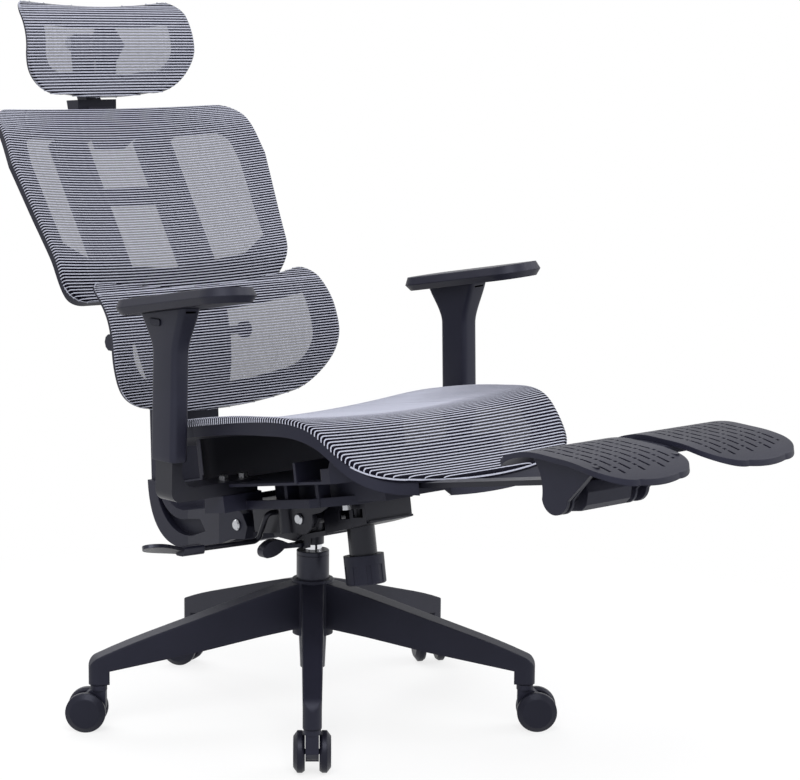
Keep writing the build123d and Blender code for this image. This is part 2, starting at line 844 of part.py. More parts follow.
with BuildPart() as spine:
    with BuildSketch(Plane.YZ.offset(-110)):
        Polygon(
            (299, spine_flat),
            (303, 440),
            (316, 520),
            (322, 572),
            at_world(back, tongue_near, -5),
            at_world(back, tongue_near, 150),
            at_world(back, tongue_far, 150),
            at_world(back, tongue_far, -9),
            (356, 572),
            (352, 520),
            (343, 440),
            (339, spine_flat),
            align=None,
        )
    extrude(amount=220)
    with BuildSketch(Plane.XZ.offset(-250)):
        with BuildLine():
            Polyline((-54, 300), (54, 300), (54, 470), (77, 545), (98, 600), (98, 760), (58, 760))
            Line((58, 760), (58, 640))
            ThreePointArc((58, 640), (0, 612), (-58, 640))
            Polyline((-58, 640), (-58, 760), (-98, 760), (-98, 600), (-77, 545), (-54, 470))
            Line((-54, 470), (-54, 300))
        make_face()
    extrude(amount=-260, mode=Mode.INTERSECT)
    # A slot for the lumbar support's arm, and the bore of its shaft.
    with BuildSketch(Plane.XZ.offset(-250)):
        with Locations((0, lumbar_shaft_z)):
            Rectangle(2 * lumbar_arm_half + 5, 56)
    extrude(amount=-160, mode=Mode.SUBTRACT)
    with BuildSketch(Plane.YZ.offset(-120)):
        with Locations((lumbar_shaft_y, lumbar_shaft_z)):
            Circle(7 + running_gap)
    extrude(amount=240, mode=Mode.SUBTRACT)
    # A shallow trough down the rear face.
    with BuildSketch(Plane.XY.offset(spine_flat + 14)):
        with Locations((0, 344)):
            Rectangle(70, 18)
    extrude(amount=170, mode=Mode.SUBTRACT)
spine.part.label = "spine"
export_step(spine.part, "parts/spine.step")

# ---------------------------------------------------------------- lumbar support
lumbar_stations = [
    (-8, 13, 10),
    (12, 4, 16),
    (30, -5, 22),
    (48, -16, 27),
    (66, -25, 30),
    (85, -31, 32),
    (106, -34.5, 32),
    (127, -34, 31),
    (148, -30, 28),
    (169, -20, 22),
    (190, -4, 15),
    (204, 11, 10),
    (218, 27, 8),
]


def lumbar_outline(inset):
    """The lumbar pad's outline seen from the front."""
    with BuildSketch() as outline:
        with BuildLine():
            ThreePointArc((-140, 9), (0, -3), (140, 9))
            ThreePointArc((140, 9), (203, 44), (223, 110))
            Line((223, 110), (219, 190))
            ThreePointArc((219, 190), (212, 205), (194, 211))
            ThreePointArc((194, 211), (0, 192), (-194, 211))
            ThreePointArc((-194, 211), (-212, 205), (-219, 190))
            Line((-219, 190), (-223, 110))
            ThreePointArc((-223, 110), (-203, 44), (-140, 9))
        make_face()
        if inset:
            offset(amount=-inset, mode=Mode.REPLACE)
    return outline.sketch


with BuildPart() as lumbar_mesh:
    with BuildSketch(face_on(lumbar, 90)):
        add(lumbar_outline(0))
    extrude(amount=180)
    add(dished_slab(lumbar, lumbar_stations, 235, 0, mesh_thickness), mode=Mode.INTERSECT)
lumbar_mesh.part.label = "lumbar_mesh"
export_step(lumbar_mesh.part, "parts/lumbar_mesh.step")

frame_start = mesh_thickness + layer_gap
with BuildPart() as lumbar_frame:
    with BuildSketch(face_on(lumbar, 90)):
        add(lumbar_outline(2))
        add(lumbar_outline(40), mode=Mode.SUBTRACT)
        with Locations((0, 100)):
            Rectangle(2 * lumbar_arm_half + 8, 150)
    extrude(amount=180)
    add(dished_slab(lumbar, lumbar_stations, 235, frame_start, 11), mode=Mode.INTERSECT)
    # An arm reaches back from the middle strip to a ring on the shaft.
    with BuildSketch(Plane.YZ.offset(-lumbar_arm_half)):
        with BuildLine():
            Polyline((lumbar_shaft_y, lumbar_shaft_z + 13), (262, 576), (239, 596), (236, 500))
            Polyline((236, 500), (262, 516), (lumbar_shaft_y, lumbar_shaft_z - 13))
            ThreePointArc(
                (lumbar_shaft_y, lumbar_shaft_z - 13),
                (lumbar_shaft_y + 13, lumbar_shaft_z),
                (lumbar_shaft_y, lumbar_shaft_z + 13),
            )
        make_face()
    extrude(amount=2 * lumbar_arm_half)
    with BuildSketch(Plane.YZ.offset(-60)):
        with Locations((lumbar_shaft_y, lumbar_shaft_z)):
            Circle(7 + running_gap)
    extrude(amount=120, mode=Mode.SUBTRACT)
lumbar_frame.part.label = "lumbar_frame"
export_step(lumbar_frame.part, "parts/lumbar_frame.step")

with BuildPart() as lumbar_shaft:
    with BuildSketch(Plane.YZ.offset(-130)):
        with Locations((lumbar_shaft_y, lumbar_shaft_z)):
            Circle(7)
    extrude(amount=260)
    for hand in (-1, 1):
        with BuildSketch(Plane.YZ.offset(hand * 127)):
            with Locations((lumbar_shaft_y, lumbar_shaft_z)):
                RegularPolygon(13.5, 10)
        extrude(amount=hand * 11)
lumbar_shaft.part.label = "lumbar_shaft"
export_step(lumbar_shaft.part, "parts/lumbar_shaft.step")

# ---------------------------------------------------------------- backrest
back_stations = [
    (-8, 6, 8),
    (18, -9, 18),
    (46, -30, 26),
    (80, -35, 28),
    (130, -35, 29),
    (190, -36, 29),
    (250, -36.5, 28),
    (288, -34, 24),
    (315, -23, 16),
    (344, -7, 8),
]


def back_outline(inset):
    """The backrest's outline seen from the front."""
    with BuildSketch() as outline:
        Polygon(
            (-222, 0), (222, 0), (251.5, 228), (243, 338), (-243, 338), (-251.5, 228), align=None
        )
        fillet(outline.vertices().group_by(Axis.Y)[0], 60)
        fillet(outline.vertices().group_by(Axis.Y)[-1], 42)
        if inset:
            offset(amount=-inset, mode=Mode.REPLACE)
    return outline.sketch


with BuildPart() as back_mesh:
    with BuildSketch(face_on(back, 90)):
        add(back_outline(0))
    extrude(amount=180)
    add(dished_slab(back, back_stations, 262, 0, mesh_thickness), mode=Mode.INTERSECT)
back_mesh.part.label = "back_mesh"
export_step(back_mesh.part, "parts/back_mesh.step")

post_half = 24.0
post_near = 30.0
post_far = 42.0
ring_thick = 17.0
bar_x_in = 52.0
bar_x_out = 116.0
bar_near = 30.0
bar_far = 48.0
bar_middle = (bar_x_in + bar_x_out) / 2


def back_window():
    """The ring's opening: nearly as wide as the pad, with soft corners and a bowed lower edge."""
    with BuildSketch() as window:
        Polygon(
            (-150, 54), (0, 41), (150, 54), (205, 88), (213, 228), (206, 284), (-206, 284),
            (-213, 228), (-205, 88), align=None,
        )
        fillet(window.vertices().group_by(Axis.Y)[-1], 30)
    return window.sketch


with BuildPart() as back_frame:
    with BuildSketch(face_on(back, 90)):
        add(back_outline(2))
        add(back_window(), mode=Mode.SUBTRACT)
    extrude(amount=180)
    add(dished_slab(back, back_stations, 262, frame_start, ring_thick), mode=Mode.INTERSECT)
    # Two uprights stand behind the ring, tied to it at both ends and to each other by a crossbar.
    for x in (-bar_middle, bar_middle):
        with BuildSketch(back.offset(24)):
            with Locations((x, (bar_near + bar_far) / 2)):
                Rectangle(bar_x_out - bar_x_in, bar_far - bar_near)
        extrude(amount=274)
        for low, near, tall in ((24, 9, 15), (287, -1, 11)):
            with BuildSketch(back.offset(low)):
                with Locations((x, (near + bar_near + 2) / 2)):
                    Rectangle(bar_x_out - bar_x_in - 8, bar_near + 2 - near)
            extrude(amount=tall)
    with BuildSketch(back.offset(178)):
        with Locations((0, bar_near + 6)):
            Rectangle(2 * bar_x_in + 4, 12)
    extrude(amount=28)
    # Channels in the uprights for the spine's tongues, and one at the top for the head post.
    for x in (-tongue_x, tongue_x):
        with BuildSketch(back.offset(20)):
            with Locations((x, (tongue_near - 0.3 + tongue_far + 0.4) / 2)):
                Rectangle(2 * 20.4 + 1.6, tongue_far - tongue_near + 0.7)
        extrude(amount=152, mode=Mode.SUBTRACT)
    # Room for the spine's fork behind the lower edge of the ring and between the uprights' feet.
    for low, tall, half_wide in ((-10, 32, 104), (20, 38, 62)):
        with BuildSketch(back.offset(low)):
            with Locations((0, tongue_near - 0.3 + 10)):
                Rectangle(2 * half_wide, 20)
        extrude(amount=tall, mode=Mode.SUBTRACT)
    with BuildSketch(back.offset(286)):
        with Locations((0, (8 + 46) / 2)):
            Rectangle(2 * post_half + 11, 38)
        with Locations((0, (6 + post_far + 0.4) / 2)):
            Rectangle(2 * post_half + 0.8, post_far + 0.4 - 6, mode=Mode.SUBTRACT)
    extrude(amount=48)
back_frame.part.label = "back_frame"
export_step(back_frame.part, "parts/back_frame.step")

# ---------------------------------------------------------------- head support
head_stations = [
    (-6, 17, 3),
    (16, 9, 9),
    (38, 4, 14),
    (58, 0, 17),
    (78, -3, 18),
    (98, -1, 17),
    (118, 7, 14),
    (138, 22, 10),
    (152, 42, 6),
    (162, 62, 4),
]


def head_outline(inset):
    """The head pad's outline seen from the front."""
    with BuildSketch() as outline:
        with BuildLine():
            ThreePointArc((-85, 6), (0, 0), (85, 6))
            ThreePointArc((85, 6), (138, 22), (165, 75))
            Line((165, 75), (162, 132))
            ThreePointArc((162, 132), (155, 149), (138, 156))
            ThreePointArc((138, 156), (0, 148), (-138, 156))
            ThreePointArc((-138, 156), (-155, 149), (-162, 132))
            Line((-162, 132), (-165, 75))
            ThreePointArc((-165, 75), (-138, 22), (-85, 6))
        make_face()
        if inset:
            offset(amount=-inset, mode=Mode.REPLACE)
    return outline.sketch


with BuildPart() as head_mesh:
    with BuildSketch(face_on(head, 100)):
        add(head_outline(0))
    extrude(amount=200)
    add(dished_slab(head, head_stations, 175, 0, mesh_thickness), mode=Mode.INTERSECT)
head_mesh.part.label = "head_mesh"
export_step(head_mesh.part, "parts/head_mesh.step")

head_arm_x = 15.0
head_arm_width = 9.0
with BuildPart() as head_frame:
    with BuildSketch(face_on(head, 100)):
        add(head_outline(2))
        add(head_outline(36), mode=Mode.SUBTRACT)
        with Locations((0, 76)):
            Rectangle(34, 120)
        with Locations((0, 85)):
            RegularPolygon(32, 6)
    extrude(amount=200)
    add(dished_slab(head, head_stations, 175, frame_start, 11), mode=Mode.INTERSECT)
    # Two short arms back to the pivot.
    for x in (-head_arm_x - head_arm_width, head_arm_x):
        with BuildSketch(Plane.YZ.offset(x)):
            with BuildLine():
                Polyline((head_pivot_y, head_pivot_z + 12), (528, 1024), (528, 985))
                Polyline((528, 985), (head_pivot_y, head_pivot_z - 12))
                ThreePointArc(
                    (head_pivot_y, head_pivot_z - 12),
                    (head_pivot_y + 12, head_pivot_z),
                    (head_pivot_y, head_pivot_z + 12),
                )
            make_face()
        extrude(amount=head_arm_width)
    with BuildSketch(Plane.YZ.offset(-60)):
        with Locations((head_pivot_y, head_pivot_z)):
            Circle(pin_radius + running_gap)
    extrude(amount=120, mode=Mode.SUBTRACT)
head_frame.part.label = "head_frame"
export_step(head_frame.part, "parts/head_frame.step")

with BuildPart() as head_post:
    with BuildSketch(back.offset(288)):
        with Locations((0, (post_near + post_far) / 2)):
            Rectangle(2 * post_half, post_far - post_near)
    extrude(amount=70)
    with BuildSketch(Plane.YZ.offset(-38)):
        Polygon((556, 898), (584, 894), (590, 916), (556, 918), align=None)
    extrude(amount=76)
    with BuildSketch(Plane.YZ.offset(-head_arm_x + 0.6)):
        with BuildLine():
            Polyline((560, 910), (587, 905), (602, 940), (611, 1006))
            ThreePointArc(
                (611, 1006), (head_pivot_y, head_pivot_z + 14), (head_pivot_y - 14, head_pivot_z)
            )
            Polyline((head_pivot_y - 14, head_pivot_z), (582, 940), (560, 910))
        make_face()
    extrude(amount=2 * (head_arm_x - 0.6))
    with BuildSketch(Plane.YZ.offset(-60)):
        with Locations((head_pivot_y, head_pivot_z)):
            Circle(pin_radius + running_gap)
    extrude(amount=120, mode=Mode.SUBTRACT)
head_post.part.label = "head_post"
export_step(head_post.part, "parts/head_post.step")

with BuildPart() as head_pivot:
    with BuildSketch(Plane.YZ.offset(-25)):
        with Locations((head_pivot_y, head_pivot_z)):
            Circle(pin_radius)
    extrude(amount=50)
    for hand in (-1, 1):
        with BuildSketch(Plane.YZ.offset(hand * 24.6)):
            with Locations((head_pivot_y, head_pivot_z)):
                Circle(9)
        extrude(amount=hand * 3)
head_pivot.part.label = "head_pivot"
export_step(head_pivot.part, "parts/head_pivot.step")

# ---------------------------------------------------------------- armrests
# Each arm is drawn on the sitter's right and mirrored for the left.
post_thick = 18.0
post_deep = 39.0
post_high = 212.0
lean_up = (sin(radians(arm_lean)), 0, cos(radians(arm_lean)))
arm_post = Plane(
    origin=(-arm_post_x, arm_post_y, arm_base_z),
    x_dir=(cos(radians(arm_lean)), 0, -sin(radians(arm_lean))),
    z_dir=lean_up,
)
arm_bolt_x = [-188, -152]


def on_post(across, up):
    """A point beside the arm post as world x and z."""
    point = arm_post.from_local_coords(Vector(across, 0, up))
    return (point.X, point.Z)


with BuildPart() as arm_bracket_right:
    with BuildSketch(Plane.XZ.offset(-arm_post_y - post_deep / 2)):
        with BuildLine():
            Polyline((-140, arm_foot_z), (-281, arm_foot_z))
            ThreePointArc((-281, arm_foot_z), (-292, arm_foot_z + 4.5), on_post(-9, 7))
            Polyline(on_post(-9, 7), on_post(-9, post_high), on_post(9, post_high))
            Line(on_post(9, post_high), on_post(9, 36))
            ThreePointArc(on_post(9, 36), (-271.5, 393), (-254, 386))
            Polyline((-254, 386), (-140, 386), (-140, arm_foot_z))
        make_face()
    extrude(amount=post_deep)
    with BuildSketch(Plane.XY.offset(360)):
        for x in arm_bolt_x:
            with Locations((x, arm_post_y)):
                Circle(4.2)
    extrude(amount=40, mode=Mode.SUBTRACT)

with BuildPart() as arm_bolts_right:
    with BuildSketch(Plane.XY.offset(386)):
        for x in arm_bolt_x:
            with Locations((x, arm_post_y)):
                RegularPolygon(7.5, 6)
    extrude(amount=6)
    with BuildSketch(Plane.XY.offset(386)):
        for x in arm_bolt_x:
            with Locations((x, arm_post_y)):
                Circle(4)
    extrude(amount=-34)

# The pad rises towards the front and its outer edge stands a little higher.
pad_across = Vector(cos(radians(pad_roll)), 0, -sin(radians(pad_roll)))
pad_back = Vector(0, cos(radians(pad_slope)), -sin(radians(pad_slope)))
flare_x = -281.0
pad_plane = Plane(
    origin=(flare_x, arm_post_y + 2, 640.5), x_dir=pad_across, z_dir=pad_across.cross(pad_back)
)
channel_deep = 6.5
slider_long = 36.0
slider_travel = 30.0
button_place = (-6, 625.5)

# The sleeve widens straight to the pad: plane, middle, width, depth and cut corner.
flare = [
    (arm_post.offset(222), 0, 0, 27, 50, 4.5),
    (pad_plane, 0, 0, 36, 116, 6),
]
with BuildPart() as arm_sleeve_right:
    with BuildSketch(arm_post.offset(50)):
        Rectangle(27, 50)
    extrude(amount=172)
    chamfer(arm_sleeve_right.edges().filter_by(lambda edge: edge.length > 150), 4.5)
    for plane, x, y, wide, deep, cut in flare:
        with BuildSketch(plane) as section:
            with Locations((x, y)):
                Rectangle(wide, deep)
            chamfer(section.vertices(), cut)
    loft(ruled=True)
    # The pocket of the post, the slider's channel under the pad and the button's pocket.
    with BuildSketch(arm_post.offset(49)):
        Rectangle(post_thick + 0.8, post_deep + 0.8)
    extrude(amount=193, mode=Mode.SUBTRACT)
    with BuildSketch(pad_plane):
        Rectangle(18, slider_long + 2 * slider_travel + 1)
    extrude(amount=-channel_deep, mode=Mode.SUBTRACT)
    with BuildSketch(Plane.YZ.offset(flare_x - 25)):
        with Locations(button_place):
            RectangleRounded(24.8, 9.8, 3)
    extrude(amount=21, mode=Mode.SUBTRACT)

with BuildPart() as arm_button_right:
    with BuildSketch(Plane.YZ.offset(flare_x - 20)):
        with Locations(button_place):
            RectangleRounded(24, 9, 2.6)
    extrude(amount=13)

pad_half = 46.0
pad_long = 262.0
with BuildPart() as arm_pad_right:
    with BuildSketch(pad_plane.offset(10)):
        with Locations((0, -35)):
            RectangleRounded(2 * pad_half, pad_long, 40)
    extrude(amount=12, taper=24)
    with BuildSketch(pad_plane.offset(10)):
        with Locations((0, -35)):
            RectangleRounded(2 * pad_half, pad_long, 40)
    extrude(amount=-9.6, taper=38)
    with BuildSketch(pad_plane.offset(0.4)):
        Rectangle(17.2, slider_long)
    extrude(amount=-channel_deep + 0.2)

arm_pieces = {
    "arm_bracket": arm_bracket_right.part,
    "arm_sleeve": arm_sleeve_right.part,
    "arm_button": arm_button_right.part,
    "arm_pad": arm_pad_right.part,
}
for name, piece in arm_pieces.items():
    piece.label = f"{name}_right"
    export_step(piece, f"parts/{name}_right.step")
    other = mirror(piece, about=Plane.YZ)
    other.label = f"{name}_left"
    export_step(other, f"parts/{name}_left.step")

with BuildPart() as arm_bolts:
    add(arm_bolts_right.part)
    mirror(arm_bolts_right.part, about=Plane.YZ)
arm_bolts.part.label = "arm_bolts"
export_step(arm_bolts.part, "parts/arm_bolts.step")

# ---------------------------------------------------------------- footrest
# One flat bar slides out under the right half of the seat and ends in a hinge housing. Both foot
# pads turn on it together: the right one on its own cheeks, the left one on a bridge.
bar_front = -610.0
bar_back = -130.0
with BuildPart() as footrest_bar:
    with BuildSketch(face_on(mech, bar_back)):
        with Locations((bar_x, bar_low + bar_thick / 2)):
            Rectangle(bar_wide, bar_thick)
    extrude(amount=bar_back - bar_front)
footrest_bar.part.label = "footrest_bar"
export_step(footrest_bar.part, "parts/footrest_bar.step")

axle_r = 8.0
yoke_from = -142.0
yoke_to = -60.0
axle_from = -173.0
with BuildPart() as footrest_yoke:
    with BuildSketch(side(mech, yoke_from)):
        with BuildLine():
            Polyline((-657, 36), (-652, 20), (-642, 13), (-622, 13), (-610, 20), (-602, 34))
            Polyline((-602, 34), (-578, 41), (-578, 56), (-612, 60), (-640, 60), (-654, 50))
            Line((-654, 50), (-657, 36))
        make_face()
    extrude(amount=yoke_to - yoke_from)
    # The axle's bore and the bar's socket.
    with BuildSketch(side(mech, -200)):
        with Locations((foot_hinge_v, foot_hinge_w)):
            Circle(axle_r + running_gap)
    extrude(amount=200, mode=Mode.SUBTRACT)
    with BuildSketch(face_on(mech, -570)):
        with Locations((bar_x, bar_low + bar_thick / 2)):
            Rectangle(bar_wide + 0.04, bar_thick + 0.04)
    extrude(amount=-(bar_front + 570), mode=Mode.SUBTRACT)
footrest_yoke.part.label = "footrest_yoke"
export_step(footrest_yoke.part, "parts/footrest_yoke.step")

with BuildPart() as footrest_axle:
    with BuildSketch(side(mech, axle_from)):
        with Locations((foot_hinge_v, foot_hinge_w)):
            Circle(axle_r)
    extrude(amount=-24 - axle_from)
footrest_axle.part.label = "footrest_axle"
export_step(footrest_axle.part, "parts/footrest_axle.step")

# The pads are S shaped plates with slots.
plate_top = [(-549, 84), (-560, 90), (-585, 95), (-615, 94), (-645, 88), (-680, 80), (-712, 69),
             (-738, 57), (-758, 44)]
plate_thick = 7.0
slot_pitch = 18.0


def below(points, depth):
    """The points of a curve moved down square to it."""
    moved = []
    for n, (v, w) in enumerate(points):
        before = points[max(n - 1, 0)]
        after = points[min(n + 1, len(points) - 1)]
        run = Vector(after[0] - before[0], after[1] - before[1]).normalized()
        moved.append((v - run.Y * depth, w + run.X * depth))
    return moved


# Cheeks and ribs of the right pad: first x, thickness and how far each stands back at the front.
cheeks = [(-178, 6, 0), (-162, 4, 6), (-44, 4, 6), (-30, 6, 0)]
for hand, which in ((-1, "right"), (1, "left")):
    middle_x = hand * (foot_pad_gap / 2 + foot_pad_width / 2)
    with BuildPart() as footrest_pad:
        with BuildSketch(side(mech, -200 if hand < 0 else 0)):
            with BuildLine():
                top = Spline(plate_top)
                low = Spline(below(plate_top, plate_thick))
                Line(top @ 0, low @ 0)
                Line(top @ 1, low @ 1)
            make_face()
        extrude(amount=200)
        with BuildSketch(mech.offset(20)) as plan:
            with BuildLine():
                half = foot_pad_width / 2
                right_edge = middle_x + half
                left_edge = middle_x - half
                Polyline((right_edge, -700), (right_edge, -543), (left_edge, -543))
                Line((left_edge, -543), (left_edge, -700))
                ThreePointArc((left_edge, -700), (left_edge + 15, -734), (left_edge + 50, -747))
                ThreePointArc((left_edge + 50, -747), (middle_x, -751), (right_edge - 50, -747))
                ThreePointArc((right_edge - 50, -747), (right_edge - 15, -734), (right_edge, -700))
            make_face()
            fillet(plan.vertices().group_by(Axis.Y)[-1], 20)
        extrude(amount=100, mode=Mode.INTERSECT)
        if hand < 0:
            for x, thick, back_off in cheeks:
                with BuildSketch(side(mech, x)):
                    with BuildLine():
                        Polyline((-598, 93), (-712 + 2 * back_off, 71), (-654 + back_off, 29))
                        ThreePointArc((-654 + back_off, 29), (-634, 12), (-610, 33))
                        ThreePointArc((-610, 33), (-611, 66), (-598, 90))
                        Line((-598, 90), (-598, 93))
                    make_face()
                extrude(amount=thick)
            with BuildSketch(side(mech, axle_from - 0.02)):
                with Locations((foot_hinge_v, foot_hinge_w)):
                    Circle(axle_r + 0.02)
            extrude(amount=180, mode=Mode.SUBTRACT)
        # Slots in staggered rows: long ones alternate with short ones.
        slots = []
        for column in range(8):
            for row in range(5):
                x = middle_x + (column - 3.5) * slot_pitch
                v = -590 - row * 31 - (15.5 if column % 2 else 0)
                if v > -720 or 0 < column < 7:
                    slots.append((x, v))
        with BuildSketch(mech.offset(60)):
            with Locations(*slots):
                Rectangle(4.4, 20)
            with Locations(*[(x, v - 16) for x, v in slots if v > -710]):
                Rectangle(5.4, 5)
        extrude(amount=60, mode=Mode.SUBTRACT)
    footrest_pad.part.label = f"footrest_pad_{which}"
    export_step(footrest_pad.part, f"parts/footrest_pad_{which}.step")

with BuildPart() as footrest_bridge:
    with BuildSketch(side(mech, -24)):
        with BuildLine():
            near = Spline(below(plate_top, plate_thick + 0.02))
            far = Spline(below(plate_top, plate_thick + 10))
            Line(near @ 0, far @ 0)
            Line(near @ 1, far @ 1)
        make_face()
    extrude(amount=196)
    with BuildSketch(mech.offset(30)):
        with Locations((74, -624)):
            Rectangle(200, 66)
    extrude(amount=80, mode=Mode.INTERSECT)
footrest_bridge.part.label = "footrest_bridge"
export_step(footrest_bridge.part, "parts/footrest_bridge.step")
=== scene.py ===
import json
import math

import bmesh
import bpy
import numpy as np
from mathutils import Matrix, Vector


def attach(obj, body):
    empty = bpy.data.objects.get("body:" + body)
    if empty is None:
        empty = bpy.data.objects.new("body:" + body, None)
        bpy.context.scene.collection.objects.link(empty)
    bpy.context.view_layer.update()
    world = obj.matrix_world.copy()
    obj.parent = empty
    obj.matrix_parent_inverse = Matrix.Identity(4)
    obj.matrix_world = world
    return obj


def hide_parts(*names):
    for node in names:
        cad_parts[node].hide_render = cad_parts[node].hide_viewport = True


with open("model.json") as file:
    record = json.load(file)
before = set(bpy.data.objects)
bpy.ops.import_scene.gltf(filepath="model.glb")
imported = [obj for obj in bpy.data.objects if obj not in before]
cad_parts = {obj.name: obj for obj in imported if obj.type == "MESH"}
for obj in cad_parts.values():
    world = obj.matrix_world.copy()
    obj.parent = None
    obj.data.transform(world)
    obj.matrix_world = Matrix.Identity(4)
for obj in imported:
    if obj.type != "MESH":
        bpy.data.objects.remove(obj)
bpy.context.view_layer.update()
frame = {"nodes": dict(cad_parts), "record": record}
nodes = frame["nodes"]
print("frame loaded:", len(nodes), "nodes")


def linear(hexColour):
    # sRGB hex to the linear colour a shader wants
    values = [int(hexColour[i:i + 2], 16) / 255 for i in (1, 3, 5)]
    return [v / 12.92 if v <= 0.04045 else ((v + 0.055) / 1.055) ** 2.4 for v in values] + [1.0]


def addNode(material, kind, inputs=None, **settings):
    # a node with its settings; an input is either a value or another node's output socket
    node = material.node_tree.nodes.new(kind)
    for name, value in settings.items():
        setattr(node, name, value)
    for name, value in (inputs or {}).items():
        if isinstance(value, bpy.types.NodeSocket):
            material.node_tree.links.new(value, node.inputs[name])
        else:
            node.inputs[name].default_value = value
    return node


def newMaterial(name):
    material = bpy.data.materials.new(name)
    material.use_nodes = True
    material.node_tree.nodes.clear()
    return material


def finishMaterial(material, shader):
    addNode(material, "ShaderNodeOutputMaterial", {"Surface": shader.outputs[0]})
    return material


def meshPiece(name, verts, faces, material, smooth=True):
    mesh = bpy.data.meshes.new(name)
    mesh.from_pydata([tuple(v) for v in verts], [], faces)
    mesh.update()
    piece = bpy.data.objects.new(name, mesh)
    bpy.context.scene.collection.objects.link(piece)
    mesh.materials.append(material)
    for polygon in mesh.polygons:
        polygon.use_smooth = smooth
    return piece


def darkToLight(material, factor, look, low, high):
    # the look's dark colour up to low, its light colour from high on
    ramp = addNode(material, "ShaderNodeValToRGB", {"Fac": factor})
    ends = ramp.color_ramp.elements
    ends[0].position, ends[0].color = low, linear(look["dark"])
    ends[1].position, ends[1].color = high, linear(look["light"])
    return ramp.outputs["Color"]


def mouldedNylon(name, look):
    # glass filled nylon, injection moulded: blue-black, a fine even grain, soft wide highlights
    material = newMaterial(name)
    place = addNode(material, "ShaderNodeTexCoord").outputs["Object"]
    cloud = addNode(material, "ShaderNodeTexNoise", {"Vector": place, "Scale": 9.0, "Detail": 3.0})
    grain = addNode(material, "ShaderNodeTexNoise",
                    {"Vector": place, "Scale": 1000 / look["grainMm"], "Detail": 2.0,
                     "Roughness": 0.6})
    tint = darkToLight(material, cloud.outputs["Fac"], look, 0.35, 0.7)
    rough = addNode(material, "ShaderNodeMapRange",
                    {"Value": grain.outputs["Fac"], "From Min": 0.3, "From Max": 0.7,
                     "To Min": look["roughness"] - 0.05, "To Max": look["roughness"] + 0.07})
    edge = addNode(material, "ShaderNodeBevel", {"Radius": look["edgeMm"] / 1000}, samples=4)
    bump = addNode(material, "ShaderNodeBump",
                   {"Height": grain.outputs["Fac"], "Strength": look["grainDepth"],
                    "Distance": 0.0002, "Normal": edge.outputs["Normal"]})
    shader = addNode(material, "ShaderNodeBsdfPrincipled",
                     {"Base Color": tint, "Roughness": rough.outputs["Result"],
                      "IOR": 1.53, "Specular IOR Level": look["shine"],
                      "Specular Tint": (0.8, 0.83, 1.0, 1.0), "Normal": bump.outputs["Normal"]})
    return finishMaterial(material, shader)


def coatedSteel(name, look):
    # powder coated steel: a thin satin black film with a faint orange peel
    material = newMaterial(name)
    place = addNode(material, "ShaderNodeTexCoord").outputs["Object"]
    peel = addNode(material, "ShaderNodeTexNoise",
                   {"Vector": place, "Scale": 1000 / look["peelMm"], "Detail": 1.5})
    wear = addNode(material, "ShaderNodeTexNoise", {"Vector": place, "Scale": 26.0, "Detail": 5.0})
    tint = darkToLight(material, wear.outputs["Fac"], look, 0.4, 0.75)
    rough = addNode(material, "ShaderNodeMapRange",
                    {"Value": wear.outputs["Fac"], "From Min": 0.3, "From Max": 0.7,
                     "To Min": look["roughness"] - 0.04, "To Max": look["roughness"] + 0.06})
    edge = addNode(material, "ShaderNodeBevel", {"Radius": 0.0006}, samples=4)
    bump = addNode(material, "ShaderNodeBump",
                   {"Height": peel.outputs["Fac"], "Strength": 0.25, "Distance": 0.0003,
                    "Normal": edge.outputs["Normal"]})
    shader = addNode(material, "ShaderNodeBsdfPrincipled",
                     {"Base Color": tint, "Roughness": rough.outputs["Result"],
                      "IOR": 1.5, "Specular IOR Level": 0.4,
                      "Specular Tint": (0.85, 0.87, 1.0, 1.0), "Normal": bump.outputs["Normal"]})
    return finishMaterial(material, shader)


def platedSteel(name, look):
    # plated steel: bare metal with fine wipe marks that stretch its highlights
    material = newMaterial(name)
    place = addNode(material, "ShaderNodeTexCoord").outputs["Object"]
    marks = addNode(material, "ShaderNodeTexNoise",
                    {"Vector": place, "Scale": 1000 / look["markMm"], "Detail": 4.0})
    rough = addNode(material, "ShaderNodeMapRange",
                    {"Value": marks.outputs["Fac"], "From Min": 0.3, "From Max": 0.7,
                     "To Min": look["roughness"] * 0.8, "To Max": look["roughness"] * 1.3})
    shader = addNode(material, "ShaderNodeBsdfPrincipled",
                     {"Base Color": linear(look["colour"]), "Metallic": 1.0,
                      "Roughness": rough.outputs["Result"]})
    return finishMaterial(material, shader)


def softTouchPu(name, look):
    # soft polyurethane skin of the arm pads: satin, leather-like pores about a millimetre apart
    material = newMaterial(name)
    place = addNode(material, "ShaderNodeTexCoord").outputs["Object"]
    pores = addNode(material, "ShaderNodeTexVoronoi",
                    {"Vector": place, "Scale": 1000 / look["poreMm"]})
    cloud = addNode(material, "ShaderNodeTexNoise", {"Vector": place, "Scale": 14.0, "Detail": 3.0})
    tint = darkToLight(material, cloud.outputs["Fac"], look, 0.35, 0.7)
    edge = addNode(material, "ShaderNodeBevel", {"Radius": 0.0025}, samples=6)
    bump = addNode(material, "ShaderNodeBump",
                   {"Height": pores.outputs["Distance"], "Strength": 0.18, "Distance": 0.0003,
                    "Normal": edge.outputs["Normal"]})
    shader = addNode(material, "ShaderNodeBsdfPrincipled",
                     {"Base Color": tint, "Roughness": look["roughness"],
                      "IOR": 1.5, "Specular IOR Level": look["shine"],
                      "Specular Tint": (0.85, 0.87, 1.0, 1.0), "Normal": bump.outputs["Normal"]})
    return finishMaterial(material, shader)


